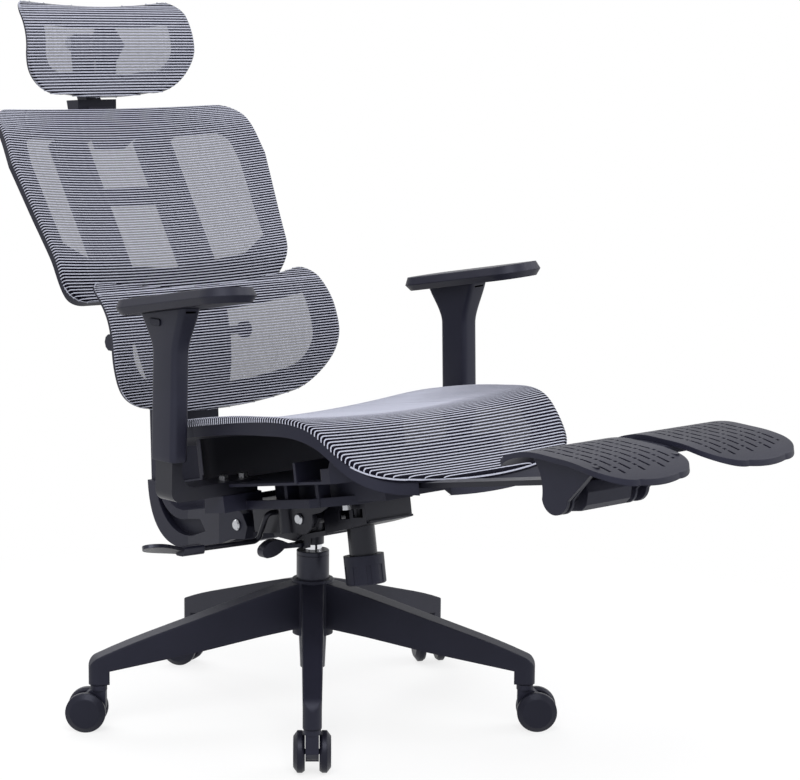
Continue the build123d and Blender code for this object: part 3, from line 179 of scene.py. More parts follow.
def polyesterYarn(name, look):
    # light polyester yarn of the bands: matte, fuzzy, with fine fibres along the yarn
    material = newMaterial(name)
    uv = addNode(material, "ShaderNodeUVMap", uv_map="yarn").outputs["UV"]
    stretched = addNode(material, "ShaderNodeMapping",
                        {"Vector": uv, "Scale": (look["stitchPerM"], look["fibrePerM"], 1.0)})
    fibre = addNode(material, "ShaderNodeTexNoise",
                    {"Vector": stretched.outputs["Vector"], "Scale": 1.0, "Detail": 3.0})
    tint = darkToLight(material, fibre.outputs["Fac"], look, 0.3, 0.72)
    bump = addNode(material, "ShaderNodeBump",
                   {"Height": fibre.outputs["Fac"], "Strength": 0.35, "Distance": 0.0003})
    shader = addNode(material, "ShaderNodeBsdfPrincipled",
                     {"Base Color": tint, "Roughness": 0.85, "Sheen Weight": 0.08,
                      "Sheen Roughness": 0.4, "Normal": bump.outputs["Normal"]})
    return finishMaterial(material, shader)


def sheerKnit(name, look):
    # dark monofilament ground between the bands: see-through, so light shows through the windows
    material = newMaterial(name)
    uv = addNode(material, "ShaderNodeUVMap", uv_map="yarn").outputs["UV"]
    stretched = addNode(material, "ShaderNodeMapping",
                        {"Vector": uv, "Scale": (look["threadPerM"], look["threadPerM"], 1.0)})
    thread = addNode(material, "ShaderNodeTexNoise",
                     {"Vector": stretched.outputs["Vector"], "Scale": 1.0, "Detail": 2.0})
    cover = addNode(material, "ShaderNodeMapRange",
                    {"Value": thread.outputs["Fac"], "From Min": 0.35, "From Max": 0.65,
                     "To Min": look["cover"] - 0.04, "To Max": look["cover"] + 0.04})
    shader = addNode(material, "ShaderNodeBsdfPrincipled",
                     {"Base Color": linear(look["colour"]), "Roughness": 0.9,
                      "Specular IOR Level": 0.06, "Alpha": cover.outputs["Result"]})
    return finishMaterial(material, shader)


nylonBlack = mouldedNylon("glassFilledNylon", {
    "dark": "#13131f", "light": "#1a1a27", "roughness": 0.5,
    "shine": 0.3, "grainMm": 0.9, "grainDepth": 0.25, "edgeMm": 1.5})
baseNylon = mouldedNylon("mouldedBaseNylon", {
    "dark": "#12121d", "light": "#181824", "roughness": 0.52,
    "shine": 0.28, "grainMm": 1.0, "grainDepth": 0.2, "edgeMm": 4.0})
nylonSmooth = mouldedNylon("satinNylon", {
    "dark": "#10101a", "light": "#161621", "roughness": 0.34,
    "shine": 0.4, "grainMm": 1.2, "grainDepth": 0.08, "edgeMm": 1.0})
wheelNylon = mouldedNylon("wheelNylon", {
    "dark": "#0f0f19", "light": "#14141f", "roughness": 0.42,
    "shine": 0.25, "grainMm": 1.0, "grainDepth": 0.1, "edgeMm": 3.0})
steelBlack = coatedSteel("powderCoatedSteel", {
    "dark": "#0d0d14", "light": "#13131b", "roughness": 0.38, "peelMm": 1.1})
steelGloss = coatedSteel("glossEnamelledSteel", {
    "dark": "#08080d", "light": "#0c0c13", "roughness": 0.27, "peelMm": 2.0})
chromeSteel = platedSteel("chromePlatedSteel", {
    "colour": "#d9dade", "roughness": 0.07, "markMm": 3.0})
zincSteel = platedSteel("zincPlatedSteel", {"colour": "#b9bbc0", "roughness": 0.3, "markMm": 1.5})
padSkin = softTouchPu("softTouchPolyurethane", {
    "dark": "#13131f", "light": "#1a1a27", "roughness": 0.5, "shine": 0.3, "poreMm": 0.9})
yarnLight = polyesterYarn("polyesterYarn", {
    "dark": "#8c8e9e", "light": "#babcca", "stitchPerM": 520.0,
    "fibrePerM": 900.0})
knitDark = sheerKnit("sheerNylonKnit", {"colour": "#0e0e18", "cover": 0.75, "threadPerM": 420.0})
knitDense = sheerKnit("denseNylonKnit", {"colour": "#0e0e18", "cover": 0.96, "threadPerM": 420.0})
print("materials made")

finishes = {
    "black_nylon": nylonBlack,
    "wheel_tread": wheelNylon,
    "lift_chrome": chromeSteel,
    "black_steel": steelBlack,
    "zinc_steel": zincSteel,
    "stretch_mesh": yarnLight,
    "arm_pad_pu": padSkin,
}
special = {
    "tension_tube": steelGloss,
    "column_tube": nylonSmooth,
    "column_bush": nylonSmooth,
    "star_base": baseNylon,
    "tension_knob": nylonBlack,
    "height_lever": nylonSmooth,
    "tilt_lever_leaf": nylonSmooth,
}
sharpDegrees = 32
slotOf = {row["node"]: row["material_slot"] for row in frame["record"]["subparts"]}
for name, node in nodes.items():
    node.data.materials.clear()
    node.data.materials.append(special.get(name, finishes[slotOf[name]]))
    for polygon in node.data.polygons:
        polygon.use_smooth = True
    node.data.set_sharp_from_angle(angle=math.radians(sharpDegrees))


def curveThrough(stations, column):
    # a smooth curve through the stations, as a function of the first column
    xs = np.array([s[0] for s in stations], float)
    ys = np.array([s[column] for s in stations], float)
    order = np.argsort(xs)
    xs, ys = xs[order], ys[order]
    n = len(xs)
    h = np.diff(xs)
    system = np.zeros((n, n))
    right = np.zeros(n)
    system[0, 0] = system[-1, -1] = 1.0
    for i in range(1, n - 1):
        system[i, i - 1:i + 2] = h[i - 1], 2 * (h[i - 1] + h[i]), h[i]
        right[i] = 6 * ((ys[i + 1] - ys[i]) / h[i] - (ys[i] - ys[i - 1]) / h[i - 1])
    bend = np.linalg.solve(system, right)

    def at(x):
        x = np.clip(np.asarray(x, float), xs[0], xs[-1])
        i = np.clip(np.searchsorted(xs, x) - 1, 0, n - 2)
        a, b = xs[i + 1] - x, x - xs[i]
        cubic = (bend[i] * a**3 + bend[i + 1] * b**3) / (6 * h[i])
        fromLeft = (ys[i] / h[i] - bend[i] * h[i] / 6) * a
        fromRight = (ys[i + 1] / h[i] - bend[i + 1] * h[i] / 6) * b
        return cubic + fromLeft + fromRight
    return at


def arc(a, b, c, steps=14):
    # points on the circle through a, b and c, without the last one
    ax, ay = a
    bx, by = b
    cx, cy = c
    d = 2 * (ax * (by - cy) + bx * (cy - ay) + cx * (ay - by))
    aa, bb, cc = ax**2 + ay**2, bx**2 + by**2, cx**2 + cy**2
    ux = (aa * (by - cy) + bb * (cy - ay) + cc * (ay - by)) / d
    uy = (aa * (cx - bx) + bb * (ax - cx) + cc * (bx - ax)) / d
    radius = math.hypot(ax - ux, ay - uy)
    start, middle, end = (math.atan2(p[1] - uy, p[0] - ux) for p in (a, b, c))
    turn = (end - start) % (2 * math.pi)
    if (middle - start) % (2 * math.pi) > turn:
        turn -= 2 * math.pi
    angles = [start + turn * i / steps for i in range(steps)]
    return [(ux + radius * math.cos(a), uy + radius * math.sin(a)) for a in angles]


def roundedPolygon(corners, radii, steps=8):
    # a polygon with an arc of its own radius at each corner; radius 0 keeps the corner
    points = []
    n = len(corners)
    for i, (x, y) in enumerate(corners):
        before, after = Vector(corners[i - 1]), Vector(corners[(i + 1) % n])
        here = Vector((x, y))
        u, v = (before - here).normalized(), (after - here).normalized()
        r = radii[i]
        if r == 0:
            points.append((x, y))
            continue
        half = math.acos(max(-1, min(1, u.dot(v)))) / 2
        cut = r / math.tan(half)
        centre = here + (u + v).normalized() * (r / math.sin(half))
        a, c = here + u * cut, here + v * cut
        b = centre + (here - centre).normalized() * r
        points += arc(tuple(a), tuple(b), tuple(c), steps) + [tuple(c)]
    return points


# stations: place along the pad, height of its edge, depth of its dish; half: half its width
# pitch: yarn spacing; yarn: its share of the pitch; height: how far it stands up
# roundMm, rim, tick: the edge's rounding, the rim's depth and how much of it the yarn ends cover
# shortest: bands shorter than this are left out; every length is in millimetres
meshes = {
    "seat": {
        "node": "seat_mesh", "body": "tilt", "rests": ["seat_shell"],
        "origin": (-64.0, 320.0), "angle": 9.5, "flatLying": True,
        "stations": [(152, 150, 8), (110, 161, 12), (50, 167, 16), (-20, 169, 18), (-90, 168, 18),
                     (-150, 164, 15), (-206, 156, 11), (-240, 138, 8), (-266, 111, 6),
                     (-292, 86, 5), (-318, 68, 4), (-346, 53, 4)],
        "half": 250.0, "yarn": 0.385, "height": 0.4, "shortest": 120.0,
        "pitch": [(-340, 6.1), (-260, 6.0), (-170, 5.0), (-100, 4.6), (150, 4.6)],
        "roundMm": [(-340, 2.5), (-312, 3), (-275, 7), (150, 7)],
        "tick": [(-340, 0.08), (-290, 0.08), (-240, 1.0)],
        "rim": [(-340, 9), (-305, 10), (-262, 11), (-235, 8), (-150, 8), (-100, 10), (-40, 12),
                (150, 12)],
        "ground": knitDense,
        "outline": arc((-150, 138), (0, 145), (150, 138)) + arc((150, 138), (222, 100), (245, 20))
        + [(245, 20), (245, -55)] + arc((245, -130), (240, -203), (222, -262))
        + arc((222, -262), (194, -298), (140, -320)) + arc((140, -320), (0, -337), (-140, -320))
        + arc((-140, -320), (-194, -298), (-222, -262))
        + arc((-222, -262), (-240, -203), (-245, -130))
        + [(-245, -130), (-245, -55)] + arc((-245, 20), (-222, 100), (-150, 138)),
    },
    "lumbar": {
        "node": "lumbar_mesh", "body": "lumbar", "rests": ["lumbar_frame"],
        "origin": (205.0, 450.0), "angle": 12.0, "flatLying": False,
        "stations": [(-8, 13, 10), (12, 4, 16), (30, -5, 22), (48, -16, 27), (66, -25, 30),
                     (85, -31, 32), (106, -34.5, 32), (127, -34, 31), (148, -30, 28),
                     (169, -20, 22), (190, -4, 15), (204, 11, 10), (218, 27, 8)],
        "half": 235.0, "yarn": 0.405, "height": 0.3, "shortest": 15.0,
        "pitch": [(0, 4.35), (200, 4.35)], "rim": [(0, 7), (200, 7)],
        "roundMm": [(0, 5), (340, 5)], "tick": [(0, 1), (340, 1)],
        "ground": knitDark,
        "outline": arc((-140, 9), (0, -3), (140, 9)) + arc((140, 9), (203, 44), (223, 110))
        + [(223, 110), (221, 150)] + arc((219, 190), (212, 205), (194, 211))
        + arc((194, 211), (0, 192), (-194, 211)) + arc((-194, 211), (-212, 205), (-219, 190))
        + [(-219, 190), (-221, 150)] + arc((-223, 110), (-203, 44), (-140, 9)),
    },
    "back": {
        "node": "back_mesh", "body": "backrest", "rests": ["back_frame"],
        "origin": (330.0, 620.0), "angle": 32.4, "flatLying": False,
        "stations": [(-8, 6, 8), (18, -9, 18), (46, -30, 26), (80, -35, 28), (130, -35, 29),
                     (190, -36, 29), (250, -36.5, 28), (288, -34, 24), (315, -23, 16),
                     (344, -7, 8)],
        "half": 262.0, "yarn": 0.44, "height": 0.3, "shortest": 15.0,
        "pitch": [(0, 4.5), (340, 4.4)], "rim": [(0, 8), (340, 7)],
        "roundMm": [(0, 5), (340, 5)], "tick": [(0, 1), (340, 1)],
        "ground": knitDark,
        "outline": roundedPolygon(
            [(-222, 0), (222, 0), (251.5, 228), (243, 338), (-243, 338), (-251.5, 228)],
            [60, 60, 0, 42, 42, 0]),
    },
    "head": {
        "node": "head_mesh", "body": "headrest", "rests": ["head_frame"],
        "origin": (505.0, 922.0), "angle": 0.0, "flatLying": False,
        "stations": [(-6, 17, 3), (16, 9, 9), (38, 4, 14), (58, 0, 17), (78, -3, 18), (98, -1, 17),
                     (118, 7, 14), (138, 22, 10), (152, 42, 6), (162, 62, 4)],
        "half": 175.0, "yarn": 0.52, "height": 0.3, "shortest": 15.0,
        "pitch": [(0, 4.7), (160, 4.7)], "rim": [(0, 8), (160, 8)],
        "roundMm": [(0, 5), (340, 5)], "tick": [(0, 1), (340, 1)],
        "ground": knitDark,
        "outline": arc((-85, 6), (0, 0), (85, 6)) + arc((85, 6), (138, 22), (165, 75))
        + [(165, 75), (163.5, 103)] + arc((162, 132), (155, 149), (138, 156))
        + arc((138, 156), (0, 148), (-138, 156)) + arc((-138, 156), (-155, 149), (-162, 132))
        + [(-162, 132), (-163.5, 103)] + arc((-165, 75), (-138, 22), (-85, 6)),
    },
}
# gridMm, edgeStepMm: steps of the ground's outline and bands, and of the rows on the rim
# rings: of the ground inside its rounding; groundGapMm: how far it lies under the bands' feet
# rimRows: most rows of yarn down the rim; turnedMm: cloth turned in under it, both sides together
# edgeAllowance: an estimate, the turned edge fills a little of the flat corners
weave = {"gridMm": 9, "edgeStepMm": 6, "rings": 22, "groundGapMm": 0.2, "rimRows": 4,
         "turnedMm": 8, "edgeAllowance": 1.02}


def surfaceOf(pad):
    # the pad's surface as a function of x and the station, and the way behind its face
    edge, dish = curveThrough(pad["stations"], 1), curveThrough(pad["stations"], 2)
    turn = math.radians(pad["angle"])
    y0, z0 = pad["origin"]
    if pad["flatLying"]:
        up, down, sign = (math.cos(turn), -math.sin(turn)), (-math.sin(turn), -math.cos(turn)), -1
    else:
        up, down, sign = (math.sin(turn), math.cos(turn)), (math.cos(turn), -math.sin(turn)), 1

    def flat(x, s):
        x, s = np.asarray(x, float), np.asarray(s, float)
        d = np.maximum(dish(s), 0.5)
        radius = (pad["half"] ** 2 + d**2) / (2 * d)
        depth = sign * edge(s) + np.sqrt(radius**2 - x**2) - (radius - d)
        y = y0 + s * up[0] + depth * down[0]
        z = z0 + s * up[1] + depth * down[1]
        return np.stack([x, y, z], -1)

    return flat, np.array([0.0, down[0], down[1]])


def drapedOver(pad):
    # the surface with its edge rounded over the rim, falling away behind the face
    flat, back = surfaceOf(pad)
    loop = denseLoop(pad["outline"], weave["gridMm"])

    def draped(x, s):
        x, s = np.broadcast_arrays(np.asarray(x, float), np.asarray(s, float))
        reach = along(pad, "roundMm", s)
        gap = np.full(x.shape, 1e9)
        for (px, ps), (dx, ds) in zip(loop, np.roll(loop, -1, 0) - loop):
            t = np.clip(((x - px) * dx + (s - ps) * ds) / (dx * dx + ds * ds), 0, 1)
            gap = np.minimum(gap, (x - px - t * dx) ** 2 + (s - ps - t * ds) ** 2)
        gap = np.clip(np.sqrt(gap), 0, reach)
        return flat(x, s) + back * (reach * (1 - np.sqrt(gap / reach)) ** 2)[..., None]

    return draped, back


def along(pad, key, s):
    # a value of the pad that changes with the station
    rows = np.array(pad[key], float)
    return np.interp(s, rows[:, 0], rows[:, 1])


def denseLoop(outline, step):
    # the outline divided into short steps
    corners = np.array(outline, float)
    points = []
    for here, there in zip(corners, np.roll(corners, -1, 0)):
        count = max(1, int(np.linalg.norm(there - here) / step))
        points += [here + (there - here) * k / count for k in range(count)]
    return np.array(points)


def outwardWays(loop):
    # the way out of the outline at each of its points, in the plan
    run = np.roll(loop, -1, 0) - np.roll(loop, 1, 0)
    run /= np.linalg.norm(run, axis=1, keepdims=True)
    ways = np.stack([run[:, 1], -run[:, 0]], -1)
    return ways if (ways * (loop - loop.mean(0))).sum() > 0 else -ways


def groundSheet(key, pad):
    # the dark ground: rings over the outline, rounded over the rim, then a skirt down its side
    draped, back = drapedOver(pad)
    loop = denseLoop(pad["outline"], weave["gridMm"])
    ways = outwardWays(loop)
    centre = np.array([0.0, (loop[:, 1].max() + loop[:, 1].min()) / 2])
    under = pad["height"] + weave["groundGapMm"]
    reach = along(pad, "roundMm", loop[:, 1])[:, None]
    inner = loop - ways * (reach + under)
    rings = weave["rings"]
    rows = [centre + (inner - centre) * k / rings for k in range(1, rings + 1)]
    rows += [loop - ways * (reach * share + under) for share in (0.6, 0.34, 0.15, 0.04, 0.0)]
    verts, uvs, faces = [], [], []
    for row in rows:
        verts += list(draped(row[:, 0], row[:, 1]) + back * under)
        uvs += list(row)
    n = len(loop)
    last = np.array(verts[-n:])
    fall = np.maximum(along(pad, "rim", loop[:, 1])[:, None] + 1.0 - reach, 0.6)
    for share in (0.5, 1.0):
        verts += list(last + back * fall * share)
        uvs += list(loop + ways * 6 * share)
    verts.append(draped(centre[0], centre[1]) + back * under)
    uvs.append(centre)
    for i in range(n):
        faces.append((len(verts) - 1, i, (i + 1) % n))
        for r in range(len(rows) + 1):
            a, b = r * n + i, r * n + (i + 1) % n
            faces.append((a, a + n, b + n, b))
    piece = meshPiece(key + "MeshGround", np.array(verts) / 1000, faces, pad["ground"])
    layer = piece.data.uv_layers.new(name="yarn")
    for corner in piece.data.loops:
        u = uvs[corner.vertex_index]
        layer.data[corner.index].uv = (u[0] / 1000, u[1] / 1000)
    return piece


def crossings(outline, s):
    # where the line at station s meets the outline, in order of x
    found = []
    n = len(outline)
    for i in range(n):
        (xa, sa), (xb, sb) = outline[i], outline[(i + 1) % n]
        if (sa <= s) != (sb <= s):
            found.append(xa + (xb - xa) * (s - sa) / (sb - sa))
    found.sort()
    return list(zip(found[::2], found[1::2]))


def edgeRows(pad, draped, back):
    # rows of yarn that run along the rim where the pad's edge lies across
    loop = denseLoop(pad["outline"], weave["edgeStepMm"])
    ways = outwardWays(loop)
    n = len(loop)
    found = []
    for side in (-1, 1):
        across = ways[:, 1] * side > 0.6
        start = next((i for i in range(n) if across[i] and not across[i - 1]), None)
        if start is None:
            continue
        picked = np.array([(start + k) % n for k in range(n) if across[(start + k) % n]])
        s = loop[picked, 1]
        pitch, rim = along(pad, "pitch", s), along(pad, "rim", s)
        for row in range(weave["rimRows"]):
            depth = (row + 0.3) * pitch
            keep = depth < rim - along(pad, "roundMm", s) if row else depth > 0
            if keep.sum() < 6:
                break
            found.append((draped(loop[picked, 0], s)[keep] + back * depth[keep][:, None],
                          float(pitch.mean() * pad["yarn"]), back))
    return found


def lengthAlong(path):
    # the distance run at each point of a path
    return np.concatenate([[0], np.cumsum(np.linalg.norm(np.diff(path, axis=0), axis=1))])


def yarnBands(key, pad):
    # the light bands: flat ribs of yarn across the pad, each carried over the rim
    draped, back = drapedOver(pad)
    lowest = min(p[1] for p in pad["outline"])
    highest = max(p[1] for p in pad["outline"])
    fine = np.linspace(lowest, highest, 1200)
    centreLine = draped(np.zeros_like(fine), fine)
    run = lengthAlong(centreLine)
    pitches = along(pad, "pitch", (fine[1:] + fine[:-1]) / 2)
    turns = np.concatenate([[0], np.cumsum(np.diff(run) / pitches)])
    bands = int(turns[-1])
    places = np.interp((np.arange(bands) + 0.5) * turns[-1] / bands, turns, fine)
    # half round section of a band: share of its width, share of its height
    section = [(-0.5, 0.0), (-0.42, 0.62), (-0.2, 0.95), (0.2, 0.95), (0.42, 0.62), (0.5, 0.0)]
    rows = []
    for s in places:
        reach = float(along(pad, "roundMm", s))
        ends = reach * np.array([0.0, 0.03, 0.1, 0.22, 0.42, 0.7])
        for xa, xb in crossings(pad["outline"], s):
            if xb - xa < max(3 * reach, pad["shortest"]):
                continue
            count = max(4, int((xb - xa) / weave["gridMm"]))
            middle = np.linspace(xa + reach, xb - reach, count)
            xs = np.concatenate([xa + ends, middle, xb - ends[::-1]])
            path = draped(xs, s)
            fall = max(float(along(pad, "rim", s)) - reach, 0.5)
            fall *= float(along(pad, "tick", s))
            path = np.concatenate([[path[0] + back * fall, path[0] + back * fall / 2], path,
                                   [path[-1] + back * fall / 2, path[-1] + back * fall]])
            middleX = (xa + xb) / 2
            across = draped(middleX, s + 0.5) - draped(middleX, s - 0.5)
            yarn = float(pad["yarn"] * along(pad, "pitch", s))
            rows.append((path, yarn, across / np.linalg.norm(across)))
    rows += edgeRows(pad, draped, back)
    verts, uvs, faces = [], [], []
    for path, yarn, width in rows:
        first = len(verts)
        length = lengthAlong(path)
        tangent = np.gradient(path, axis=0)
        tangent /= np.linalg.norm(tangent, axis=1, keepdims=True)
        sides = width - tangent * (tangent @ width)[:, None]
        sides /= np.linalg.norm(sides, axis=1, keepdims=True)
        facing = np.cross(sides, tangent)
        away = path[len(path) // 2] - pad["inside"] if abs(width @ back) > 0.9 else -back
        facing *= np.sign(facing[len(path) // 2] @ away)
        for point, out, side, far in zip(path, facing, sides, length):
            for a, b in section:
                verts.append(point + side * a * yarn + out * (b - 1.0) * pad["height"])
                uvs.append((far / 1000, a * yarn / 1000))
        m = len(section)
        for i in range(len(path) - 1):
            for k in range(m - 1):
                a = first + i * m + k
                faces.append((a, a + 1, a + m + 1, a + m))
    piece = meshPiece(key + "MeshBands", np.array(verts) / 1000, faces, yarnLight)
    layer = piece.data.uv_layers.new(name="yarn")
    order = np.zeros(len(piece.data.loops), int)
    piece.data.loops.foreach_get("vertex_index", order)
    layer.data.foreach_set("uv", np.array(uvs)[order].ravel())
    print(" ", key, len(rows), "rows of yarn,", len(faces), "faces")
    return piece, run[-1]


for key, pad in meshes.items():
    middle = denseLoop(pad["outline"], weave["gridMm"]).mean(0)
    pad["inside"] = surfaceOf(pad)[0](middle[0], middle[1])
    ground = groundSheet(key, pad)
    bands, run = yarnBands(key, pad)
    for piece in (ground, bands):
        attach(piece, pad["body"])
    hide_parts(pad["node"])
print("stretched meshes made")


# millimetres and degrees; column and top are width and depth, post and channel end with a length
sleeve = {
    "column": (30.0, 55.0), "top": (37.0, 101.0), "corner": 8.5,
    "low": 50.0, "lowInset": 0.8, "flareFrom": 205.0, "flareRings": 14,
    "foot": (-288.0, -20.0, 376.0), "lean": 1.5,
    "padPoint": (-281.0, -18.0, 640.5), "slope": 9.5, "roll": 3.2,
    "post": (18.8, 39.8, 243.0), "channel": (18.2, 97.0, 6.6),
    "button": (-6.0, 625.5, 24.8, 9.8), "buttonFrom": -310.0, "buttonDeep": 25.0,
    "sharpDegrees": 40,
}


def roundedSection(wide, deep, corner, steps=6):
    # a rectangle with round corners as points, always the same number of them
    points = []
    for sx, sy, start in ((1, 1, 0), (-1, 1, 90), (-1, -1, 180), (1, -1, 270)):
        for k in range(steps + 1):
            a = math.radians(start + 90 * k / steps)
            points.append((sx * (wide / 2 - corner) + corner * math.cos(a),
                           sy * (deep / 2 - corner) + corner * math.sin(a)))
    return points


def boxCutter(corners, depth):
    # a prism from four or more corner points along a depth vector, for a boolean cut
    n = len(corners)
    verts = [Vector(c) / 1000 for c in corners]
    verts += [(Vector(c) + Vector(depth)) / 1000 for c in corners]
    faces = [tuple(range(n))[::-1], tuple(range(n, 2 * n))]
    faces += [(i, (i + 1) % n, n + (i + 1) % n, n + i) for i in range(n)]
    return verts, faces


def rectangleAt(middle, wideWay, deepWay, wide, deep):
    # the four corners of a rectangle about a point
    return [middle + wideWay * (a * wide / 2) + deepWay * (b * deep / 2)
            for a, b in ((-1, -1), (1, -1), (1, 1), (-1, 1))]


def armSleeve(hand, which):
    # the moulded sleeve: a column with round corners that flows into a flare under the pad
    lean, slope, roll = (math.radians(sleeve[k]) for k in ("lean", "slope", "roll"))
    foot, top = Vector(sleeve["foot"]), Vector(sleeve["padPoint"])
    columnUp = Vector((math.sin(lean), 0, math.cos(lean)))
    columnAcross = Vector((math.cos(lean), 0, -math.sin(lean)))
    padAcross = Vector((math.cos(roll), 0, -math.sin(roll)))
    padBack = Vector((0, math.cos(slope), -math.sin(slope)))
    deepWay = Vector((0, 1, 0))
    rings = []
    for t in (sleeve["low"], sleeve["low"] + 1.5, 60, 100, 150, 190):
        inset = sleeve["lowInset"] if t == sleeve["low"] else 0.0
        wide, deep = (size - 2 * inset for size in sleeve["column"])
        rings.append((foot + columnUp * t, columnAcross, deepWay, wide, deep))
    start = foot + columnUp * sleeve["flareFrom"]
    for k in range(sleeve["flareRings"] + 1):
        u = k / sleeve["flareRings"]
        ease = u**1.6 * 0.55 + (u * u * (3 - 2 * u)) * 0.45
        wide, deep = (a + (b - a) * ease for a, b in zip(sleeve["column"], sleeve["top"]))
        rings.append((start.lerp(top, u), columnAcross.lerp(padAcross, u),
                      deepWay.lerp(padBack, u), wide, deep))
    verts, faces = [], []
    for middle, across, deepWards, wide, deep in rings:
        for x, y in roundedSection(wide, deep, sleeve["corner"]):
            p = middle + across * x + deepWards * y
            verts.append(((-p.x if hand > 0 else p.x) / 1000, p.y / 1000, p.z / 1000))
    n = len(verts) // len(rings)
    for r in range(len(rings) - 1):
        for i in range(n):
            a, b = r * n + i, r * n + (i + 1) % n
            faces.append((a, b, b + n, a + n))
    faces += [tuple(range(n))[::-1], tuple(range(len(verts) - n, len(verts)))]
    piece = meshPiece("armSleeve" + which, verts, faces, armNylon)
    # pockets for the post from below, the pad's slider from above and the button from outside
    wide, deep, long = sleeve["post"]
    low = foot + columnUp * (sleeve["low"] - 2)
    cutters = [(rectangleAt(low, columnAcross, deepWay, wide, deep),
                columnUp * (long - sleeve["low"] + 2))]
    wide, deep, sunk = sleeve["channel"]
    padUp = padAcross.cross(padBack)
    cutters.append((rectangleAt(top + padUp * 3, padAcross, padBack, wide, deep),
                    -padUp * (sunk + 3)))
    y, z, long, high = sleeve["button"]
    ring = [(sleeve["buttonFrom"], y + a, z + b) for a, b in roundedSection(long, high, 3.0, 4)]
    cutters.append((ring, Vector((sleeve["buttonDeep"], 0, 0))))
    for corners, depth in cutters:
        corners = [Vector(c) for c in corners]
        if hand > 0:
            corners = [Vector((-c.x, c.y, c.z)) for c in corners][::-1]
            depth = Vector((-depth.x, depth.y, depth.z))
        cutVerts, cutFaces = boxCutter(corners, depth)
        cutter = meshPiece("cutter", cutVerts, cutFaces, armNylon, smooth=False)
        for mesh in (piece.data, cutter.data):
            turned = bmesh.new()
            turned.from_mesh(mesh)
            bmesh.ops.recalc_face_normals(turned, faces=turned.faces)
            turned.to_mesh(mesh)
            turned.free()
        modifier = piece.modifiers.new("cut", "BOOLEAN")
        modifier.operation, modifier.solver, modifier.object = "DIFFERENCE", "EXACT", cutter
        ready = piece.evaluated_get(bpy.context.evaluated_depsgraph_get())
        made = bpy.data.meshes.new_from_object(ready)
        piece.modifiers.remove(modifier)
        piece.data = made
        bpy.data.objects.remove(cutter)
    for polygon in piece.data.polygons:
        polygon.use_smooth = True
    piece.data.set_sharp_from_angle(angle=math.radians(sleeve["sharpDegrees"]))
    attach(piece, "arm_" + which.lower())
    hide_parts("arm_sleeve_" + which.lower())


armNylon = mouldedNylon("armNylon", {
    "dark": "#13131f", "light": "#191926", "roughness": 0.47,
    "shine": 0.35, "grainMm": 0.9, "grainDepth": 0.2, "edgeMm": 1.5})
armSleeve(-1, "Right")
armSleeve(1, "Left")
print("arm sleeves made")


# light powers in watts; the floor turns to plain white between fadeFrom and fadeTo, in metres
studio = {
    "floor": "#f2f2f3", "floorSize": 14.0, "fadeFrom": 0.4, "fadeTo": 1.2, "nearWhite": 0.78,
    "sky": "#f4f5f7", "world": 0.62, "key": 120.0, "fill": 54.0, "rim": 72.0,
}


def whiteToCamera(material):
    # white where the camera, a reflection or a clear surface sees it, and plain elsewhere
    path = addNode(material, "ShaderNodeLightPath")
    seen = path.outputs["Is Camera Ray"]
    for ray in ("Is Glossy Ray", "Is Transmission Ray"):
        seen = addNode(material, "ShaderNodeMath",
                       {0: seen, 1: path.outputs[ray]}, operation="MAXIMUM").outputs[0]
    return seen


def makeFloor():
    # a matte floor that takes the contact shadow near the chair and is white further off
    size = studio["floorSize"]
    verts = [(-size, -size, 0), (size, -size, 0), (size, size, 0), (-size, size, 0)]
    material = newMaterial("studioFloor")
    place = addNode(material, "ShaderNodeTexCoord").outputs["Object"]
    cloud = addNode(material, "ShaderNodeTexNoise", {"Vector": place, "Scale": 2.0})
    rough = addNode(material, "ShaderNodeMapRange",
                    {"Value": cloud.outputs["Fac"], "To Min": 0.75, "To Max": 0.9})
    matte = addNode(material, "ShaderNodeBsdfPrincipled",
                    {"Base Color": linear(studio["floor"]), "Roughness": rough.outputs["Result"],
                     "Specular IOR Level": 0.1})
    glow = addNode(material, "ShaderNodeEmission", {"Color": (1, 1, 1, 1), "Strength": 1.0})
    seen = whiteToCamera(material)
    away = addNode(material, "ShaderNodeVectorMath", {0: place}, operation="LENGTH")
    fade = addNode(material, "ShaderNodeMapRange",
                   {"Value": away.outputs["Value"], "From Min": studio["fadeFrom"],
                    "From Max": studio["fadeTo"], "To Min": studio["nearWhite"], "To Max": 1.0})
    share = addNode(material, "ShaderNodeMath",
                    {0: seen, 1: fade.outputs["Result"]}, operation="MULTIPLY")
    mix = addNode(material, "ShaderNodeMixShader",
                  {0: share.outputs[0], 1: matte.outputs[0], 2: glow.outputs[0]})
    finishMaterial(material, mix)
    floor = meshPiece("studioFloor", verts, [(0, 1, 2, 3)], material)


def makeWorld():
    # a soft grey sky for the light, plain white behind the chair
    world = bpy.data.worlds.new("studio")
    bpy.context.scene.world = world
    world.use_nodes = True
    world.node_tree.nodes.clear()
    seen = whiteToCamera(world)
    soft = addNode(world, "ShaderNodeBackground",
                   {"Color": linear(studio["sky"]), "Strength": studio["world"]})
    white = addNode(world, "ShaderNodeBackground", {"Color": (1, 1, 1, 1), "Strength": 1.0})
    mix = addNode(world, "ShaderNodeMixShader",
                  {0: seen, 1: soft.outputs[0], 2: white.outputs[0]})
    addNode(world, "ShaderNodeOutputWorld", {"Surface": mix.outputs[0]})


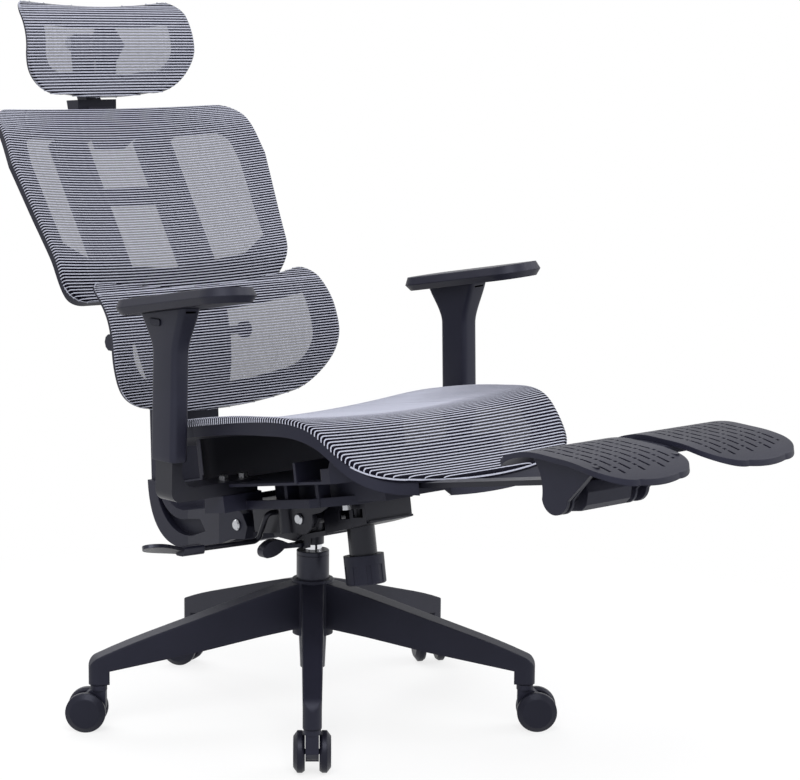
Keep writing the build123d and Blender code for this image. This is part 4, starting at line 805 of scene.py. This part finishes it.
def softbox(name, place, target, size, power):
    # a rectangular white area light aimed at a point
    light = bpy.data.lights.new(name, "AREA")
    light.shape = "RECTANGLE"
    light.size, light.size_y = size
    light.energy = power
    lamp = bpy.data.objects.new(name, light)
    bpy.context.scene.collection.objects.link(lamp)
    lamp.location = place
    aim = Vector(target) - Vector(place)
    lamp.rotation_euler = aim.to_track_quat("-Z", "Y").to_euler()
    lamp.visible_camera = False


def makeCamera():
    # place in metres, angles in degrees, fitted to lines of the chair in the photograph
    view = {"place": (-2.3431, -2.7753, 1.0524), "heading": -42.24, "pitch": 8.667,
            "roll": 0.49, "focalPx": 2428.0, "imageWidthPx": 800, "sensorMm": 36.0}
    a, p, r = (math.radians(view[k]) for k in ("heading", "pitch", "roll"))
    flatWay = Vector((-math.sin(a), math.cos(a), 0))
    right = Vector((math.cos(a), math.sin(a), 0))
    forward = flatWay * math.cos(p) - Vector((0, 0, 1)) * math.sin(p)
    up = flatWay * math.sin(p) + Vector((0, 0, 1)) * math.cos(p)
    rolledRight = right * math.cos(r) + up * math.sin(r)
    rolledUp = up * math.cos(r) - right * math.sin(r)
    data = bpy.data.cameras.new("camera")
    data.sensor_width = view["sensorMm"]
    data.lens = view["focalPx"] * view["sensorMm"] / view["imageWidthPx"]
    data.clip_end = 100
    camera = bpy.data.objects.new("camera", data)
    bpy.context.scene.collection.objects.link(camera)
    turn = Matrix((rolledRight, rolledUp, -forward)).transposed().to_4x4()
    camera.matrix_world = Matrix.Translation(view["place"]) @ turn
    bpy.context.scene.camera = camera
    print("camera looks along", [round(v, 3) for v in forward])


makeFloor()
makeWorld()
softbox("keyLight", (-1.9, -2.2, 3.2), (0, -0.1, 0.5), (2.4, 2.4), studio["key"])
softbox("fillLight", (2.8, -1.6, 2.2), (0, 0, 0.5), (2.2, 2.6), studio["fill"])
softbox("rimLight", (0.4, 2.6, 3.0), (0, 0.2, 0.6), (3.0, 1.6), studio["rim"])
makeCamera()
bpy.context.scene.view_settings.view_transform = "Standard"
print("studio made")
